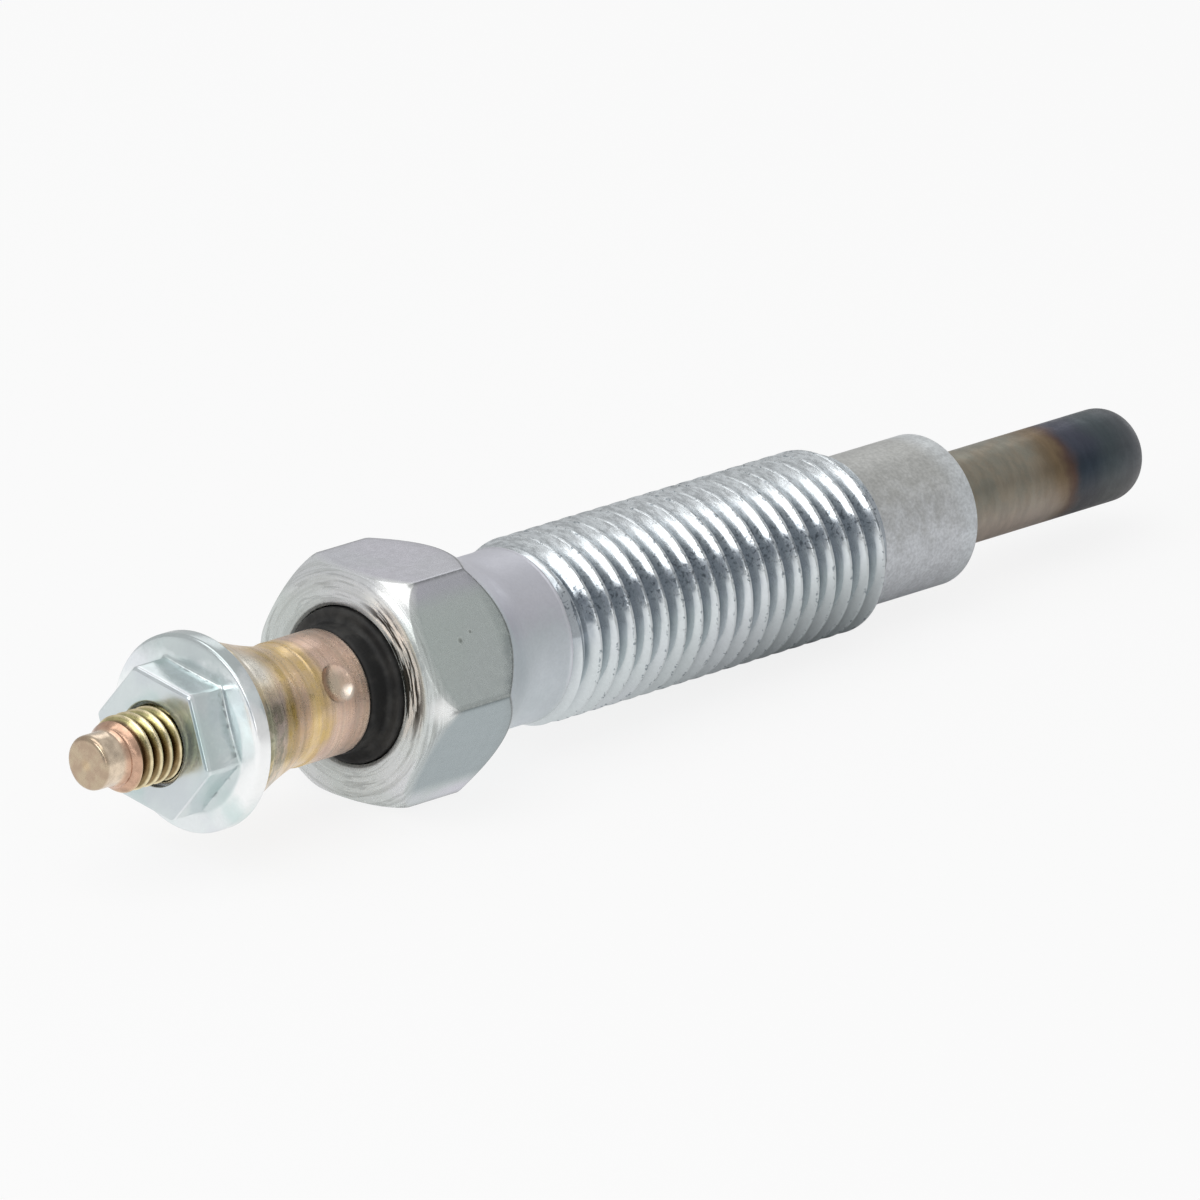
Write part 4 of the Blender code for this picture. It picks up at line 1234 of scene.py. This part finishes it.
class GLOWPLUG_OT_terminal_nut(Operator):
    """Hexagon nut with its flange, bright plated"""

    bl_idname = "glow_plug.terminal_nut"
    bl_label = "Terminal nut"

    def execute(self, context):
        settings = context.scene.glow_plug
        size = settings.terminal
        half = size.nut_across_flats / 2
        angles = sector_angles(size.nut_turn + math.pi / 6, 6, math.radians(7.0), 10, 22)
        hexagon = hexagon_radius(angles, half, size.nut_turn, NUT_ROUNDING)
        bore = size.stud_radius + SLIDE_GAP
        corner = half / math.cos(math.pi / 6)
        face = np.minimum(hexagon - size.nut_edge, corner - size.nut_corner_cut)
        rim_top = NUT_BOTTOM - size.rim_thickness
        fall = math.tan(size.flange_angle)
        meets = rim_top - (size.flange_radius - RIM_DRAFT - hexagon) * fall
        rows = profile_rows([
            (bore, NUT_BOTTOM - BORE_CHAMFER, 0.0, 4),
            (bore, NUT_TOP + NUT_CHAMFER, 0.00004),
            (bore + NUT_CHAMFER, NUT_TOP, 0.00004, 5),
            (face, NUT_TOP, 0.00006, 2),
            (hexagon, NUT_TOP + (hexagon - face) * FACE_SLOPE, 0.00008, 6),
            (hexagon, meets, 0.00018, 6),
            (size.flange_radius, rim_top + RIM_DRAFT * fall, 0.00018, 3),
            (size.flange_radius, NUT_BOTTOM, 0.00008, 6),
            (bore + BORE_CHAMFER, NUT_BOTTOM),
            (bore, NUT_BOTTOM - BORE_CHAMFER),
        ], angles)
        edge = hexagon_marks(rows, angles, size.nut_turn, hexagon, meets - RIM_DRAFT, 0.0)
        piece = surface("flange_nut_body", rows, angles, {"edge": edge})
        dress(
            piece, "terminal_flange_nut",
            finish_bright_zinc(settings.finish))
        return {"FINISHED"}


class GLOWPLUG_OT_collar_nut(Operator):
    """Round collar nut with its flare, step and punch marks, yellow passivated"""

    bl_idname = "glow_plug.collar_nut"
    bl_label = "Collar nut"

    def execute(self, context):
        settings = context.scene.glow_plug
        size = settings.terminal
        angles = sector_angles(PUNCH_ANGLE, 2, math.radians(22.0), 40, 44)
        bore = size.stud_radius + SLIDE_GAP
        chamfer = bore + BORE_CHAMFER
        flank = []
        for step in range(1, FLARE_STEPS + 1):
            left = 1.0 - step / FLARE_STEPS
            flare = (size.flare_radius - size.waist_radius) * left ** FLARE_POWER
            depth = COLLAR_WAIST - (COLLAR_WAIST - COLLAR_RIM) * left
            flank.append((size.waist_radius + flare, depth))
        rows = profile_rows([
            (bore, COLLAR_TOP + BORE_CHAMFER),
            (chamfer, COLLAR_TOP, 0.0, 4),
            (size.flare_radius, COLLAR_TOP, 0.00008, 2),
            (size.flare_radius, COLLAR_RIM, 0.00008),
            *flank,
            (size.waist_radius, COLLAR_STEP - 0.00014, 0.00005),
            (size.barrel_radius + 0.00001, COLLAR_STEP, 0.00006, 2),
            (size.barrel_radius, PUNCH_MARK - PUNCH_REACH, 0.0, 40),
            (size.barrel_radius, PUNCH_MARK + PUNCH_REACH, 0.0, 6),
            (size.barrel_radius, COLLAR_BOTTOM, 0.00012, 4),
            (chamfer, COLLAR_BOTTOM),
            (bore, COLLAR_BOTTOM - BORE_CHAMFER, 0.0, 4),
            (bore, COLLAR_TOP + BORE_CHAMFER),
        ], angles)

        # Two opposite punch marks, each the cap of a ball pressed into the barrel
        radius, depth = rows[..., 0], rows[..., 1]
        from_mark = (angles[None, :] - PUNCH_ANGLE + math.pi / 2) % math.pi - math.pi / 2
        away = np.hypot(depth - PUNCH_MARK, size.barrel_radius * from_mark)
        ball = (size.stake_radius ** 2 + size.stake_depth ** 2) / (2 * size.stake_depth)
        cap = np.sqrt(np.clip(ball ** 2 - away ** 2, 0.0, None)) - (ball - size.stake_depth)
        on_barrel = (radius > size.barrel_radius - 0.00002) & (depth > COLLAR_STEP)
        drop = np.where(on_barrel, np.clip(cap, 0.0, None), 0.0)
        rows = np.stack([radius - drop, depth], axis=-1)
        piece = surface("collar_nut_body", rows, angles)
        dress(
            piece, "round_collar_nut", finish_yellow_zinc(settings.finish))
        return {"FINISHED"}


class GLOWPLUG_OT_bush(Operator):
    """Black insulating bush between the collar nut and the housing"""

    bl_idname = "glow_plug.bush"
    bl_label = "Insulating bush"

    def execute(self, context):
        settings = context.scene.glow_plug
        size = settings.terminal
        angles = even_angles(144)
        bore = size.stud_radius + BUSH_GAP
        chamfer = bore + BUSH_CHAMFER
        rows = profile_rows([
            (bore, BUSH_END - BUSH_CHAMFER, 0.0, 4),
            (bore, BUSH_TOP + BUSH_CHAMFER),
            (chamfer, BUSH_TOP, 0.0, 4),
            (size.bush_hub, BUSH_TOP, 0.00025, 4),
            (size.bush_hub, BUSH_SHOULDER, 0.00050, 3),
            (size.bush_flange, BUSH_SHOULDER, 0.00025, 6),
            (size.bush_flange, BUSH_FLANGE_END, 0.00005, 2),
            (size.bush_sleeve, BUSH_FLANGE_END, 0.0, 6),
            (size.bush_sleeve, BUSH_END, 0.00008, 2),
            (chamfer, BUSH_END),
            (bore, BUSH_END - BUSH_CHAMFER),
        ], angles)
        piece = surface("bush_moulding", rows, angles)
        dress(piece, "insulating_bush", finish_bush(settings.finish))
        return {"FINISHED"}


class GLOWPLUG_OT_inside(Operator):
    """Finishes of the pieces that the housing and the sheath hide"""

    bl_idname = "glow_plug.inside"
    bl_label = "Hidden pieces"

    def execute(self, context):
        finishes = {name: finish_hidden(name) for name in HIDDEN_FINISHES}
        for node, finish in HIDDEN_PIECES.items():
            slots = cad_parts[node].data.materials
            slots.clear()
            slots.append(finishes[finish])
        return {"FINISHED"}


def softbox(name, place, aim, width, height, level):
    """A softbox of the given brightness: its power is pi times its area times the level."""
    lamp = bpy.data.lights.new(name, "AREA")
    lamp.shape = "RECTANGLE"
    lamp.size = width
    lamp.size_y = height
    lamp.energy = math.pi * width * height * level
    obj = bpy.data.objects.new(name, lamp)
    obj.location = place
    obj.rotation_euler = (Vector(aim) - Vector(place)).to_track_quat("-Z", "Y").to_euler()
    bpy.context.scene.collection.objects.link(obj)


def plain_material(name, base_colour):
    """A dull paper or cloth for the studio."""
    material = bpy.data.materials.new(name)
    material.use_nodes = True
    shader = material.node_tree.nodes["Principled BSDF"]
    shader.inputs["Roughness"].default_value = 1.0
    shader.inputs["Specular IOR Level"].default_value = 0.0
    shader.inputs["Base Color"].default_value = (*base_colour, 1.0)
    return material


def paper_material(studio):
    """Pale paper that camera rays see nearly white, and reflections too on the stud's side.

    The share of white is the same all over, so the object's shadow stays on the paper.
    """
    material = plain_material("pale_paper", studio.floor_colour)
    sheet = NodeSheet(material.node_tree)
    nodes = material.node_tree.nodes
    paper = Signal(sheet, nodes["Principled BSDF"].outputs[0])
    white = sheet.add("ShaderNodeEmission", {"Color": (1.0, 1.0, 1.0), "Strength": 1.0})
    rays = sheet.add("ShaderNodeLightPath", output=None)
    place = sheet.add("ShaderNodeTexCoord", output="Object")
    across = sheet.add("ShaderNodeSeparateXYZ", {0: place}, "X")
    mirrored = rays["Is Glossy Ray"].most(rays["Is Transmission Ray"])
    mirrored = mirrored * across.span(PLAIN_FROM, WHITE_UNTIL)
    seen = rays["Is Camera Ray"].most(mirrored) * studio.floor_white
    blend = sheet.add("ShaderNodeMixShader", {0: seen, 1: paper, 2: white})
    sheet.feed(nodes["Material Output"].inputs["Surface"], blend)
    return material


def flat_card(name, corners, material):
    """A flat card of the studio, from its four corners."""
    mesh = bpy.data.meshes.new(name)
    mesh.from_pydata(corners, [], [(0, 1, 2, 3)])
    mesh.materials.append(material)
    card = bpy.data.objects.new(name, mesh)
    bpy.context.scene.collection.objects.link(card)
    return card


def plain_room(level):
    """A room of plain light at the given level, which the camera sees white."""
    world = bpy.data.worlds.new("plain_room")
    world.use_nodes = True
    sheet = NodeSheet(world.node_tree)
    backing = world.node_tree.nodes["Background"].inputs
    backing["Color"].default_value = (1.0, 1.0, 1.0, 1.0)
    camera_ray = sheet.add("ShaderNodeLightPath", output="Is Camera Ray")
    sheet.feed(backing["Strength"], camera_ray.span(0.0, 1.0, level, 1.0))
    return world


def camera_at(place, studio):
    """The camera, looking past the middle of the plug, turned by its elevation and azimuth."""
    camera = bpy.data.cameras.new("camera")
    camera.sensor_width = SENSOR_WIDTH
    camera.lens = studio.lens
    camera.clip_start = 0.01
    camera.clip_end = 50.0
    middle = Vector((
        place.start + MIDDLE_DEPTH * math.cos(place.tilt), 0.0,
        place.height - MIDDLE_DEPTH * math.sin(place.tilt)))
    pixel = studio.camera_distance * SENSOR_WIDTH / (studio.lens * IMAGE_WIDTH)
    away = Vector((-PIXELS_RIGHT * pixel, -PIXELS_UP * pixel, studio.camera_distance))
    turn = Euler((math.pi / 2 - studio.camera_elevation, 0.0, studio.camera_azimuth))
    holder = bpy.data.objects.new("camera", camera)
    holder.rotation_euler = turn
    holder.location = middle + turn.to_matrix() @ away
    bpy.context.scene.collection.objects.link(holder)
    return holder


class GLOWPLUG_OT_studio(Operator):
    """Pale floor, room light, softboxes, dark cards and the camera"""

    bl_idname = "glow_plug.studio"
    bl_label = "Studio"

    def execute(self, context):
        scene = context.scene
        settings = scene.glow_plug
        studio = settings.studio
        scene.view_settings.view_transform = "Standard"
        paper = flat_card("paper_floor", FLOOR_CORNERS, paper_material(studio))
        scene.world = plain_room(studio.world_level)
        for name, place, aim, width, height, level in LAMPS:
            softbox(name, place, aim, width, height, getattr(studio, level))
        for name, corners, base_colour in CARDS:
            card = flat_card(name, corners, plain_material(name, base_colour))
            card.visible_camera = False
            card.visible_diffuse = False
            card.visible_shadow = False
            card.visible_transmission = False
        scene.camera = camera_at(settings.place, studio)
        return {"FINISHED"}


class GLOWPLUG_PT_panel(Panel):
    """Sizes, colours and the buttons that make each piece."""

    bl_idname = "GLOWPLUG_PT_panel"
    bl_label = "Diesel Glow Plug"
    bl_space_type = "VIEW_3D"
    bl_region_type = "UI"
    bl_category = "Glow Plug"

    def draw(self, context):
        settings = context.scene.glow_plug
        buttons = self.layout.column(align=True)
        for operator in PIECES:
            buttons.operator(operator.bl_idname)
        for title in ("place", "housing", "terminal", "sheath", "finish", "studio"):
            box = self.layout.box()
            box.label(text=title.capitalize())
            group = getattr(settings, title)
            for name in group.__annotations__:
                box.prop(group, name)


PIECES = (
    GLOWPLUG_OT_studio,
    GLOWPLUG_OT_housing,
    GLOWPLUG_OT_sheath,
    GLOWPLUG_OT_centre_rod,
    GLOWPLUG_OT_terminal_nut,
    GLOWPLUG_OT_collar_nut,
    GLOWPLUG_OT_bush,
    GLOWPLUG_OT_inside,
)

CLASSES = (
    GlowPlugPlace,
    GlowPlugHousing,
    GlowPlugTerminal,
    GlowPlugSheath,
    GlowPlugFinish,
    GlowPlugStudio,
    GlowPlugSettings,
    *PIECES,
    GLOWPLUG_PT_panel,
)


def register():
    for one in CLASSES:
        bpy.utils.register_class(one)
    bpy.types.Scene.glow_plug = PointerProperty(type=GlowPlugSettings)


def unregister():
    del bpy.types.Scene.glow_plug
    for one in reversed(CLASSES):
        bpy.utils.unregister_class(one)


def main():
    """Make every piece and the studio."""
    register()
    bpy.ops.glow_plug.studio()
    bpy.ops.glow_plug.housing()
    bpy.ops.glow_plug.sheath()
    bpy.ops.glow_plug.centre_rod()
    bpy.ops.glow_plug.terminal_nut()
    bpy.ops.glow_plug.collar_nut()
    bpy.ops.glow_plug.bush()
    bpy.ops.glow_plug.inside()
    bpy.context.view_layer.update()


if __name__ == "__main__":
    main()
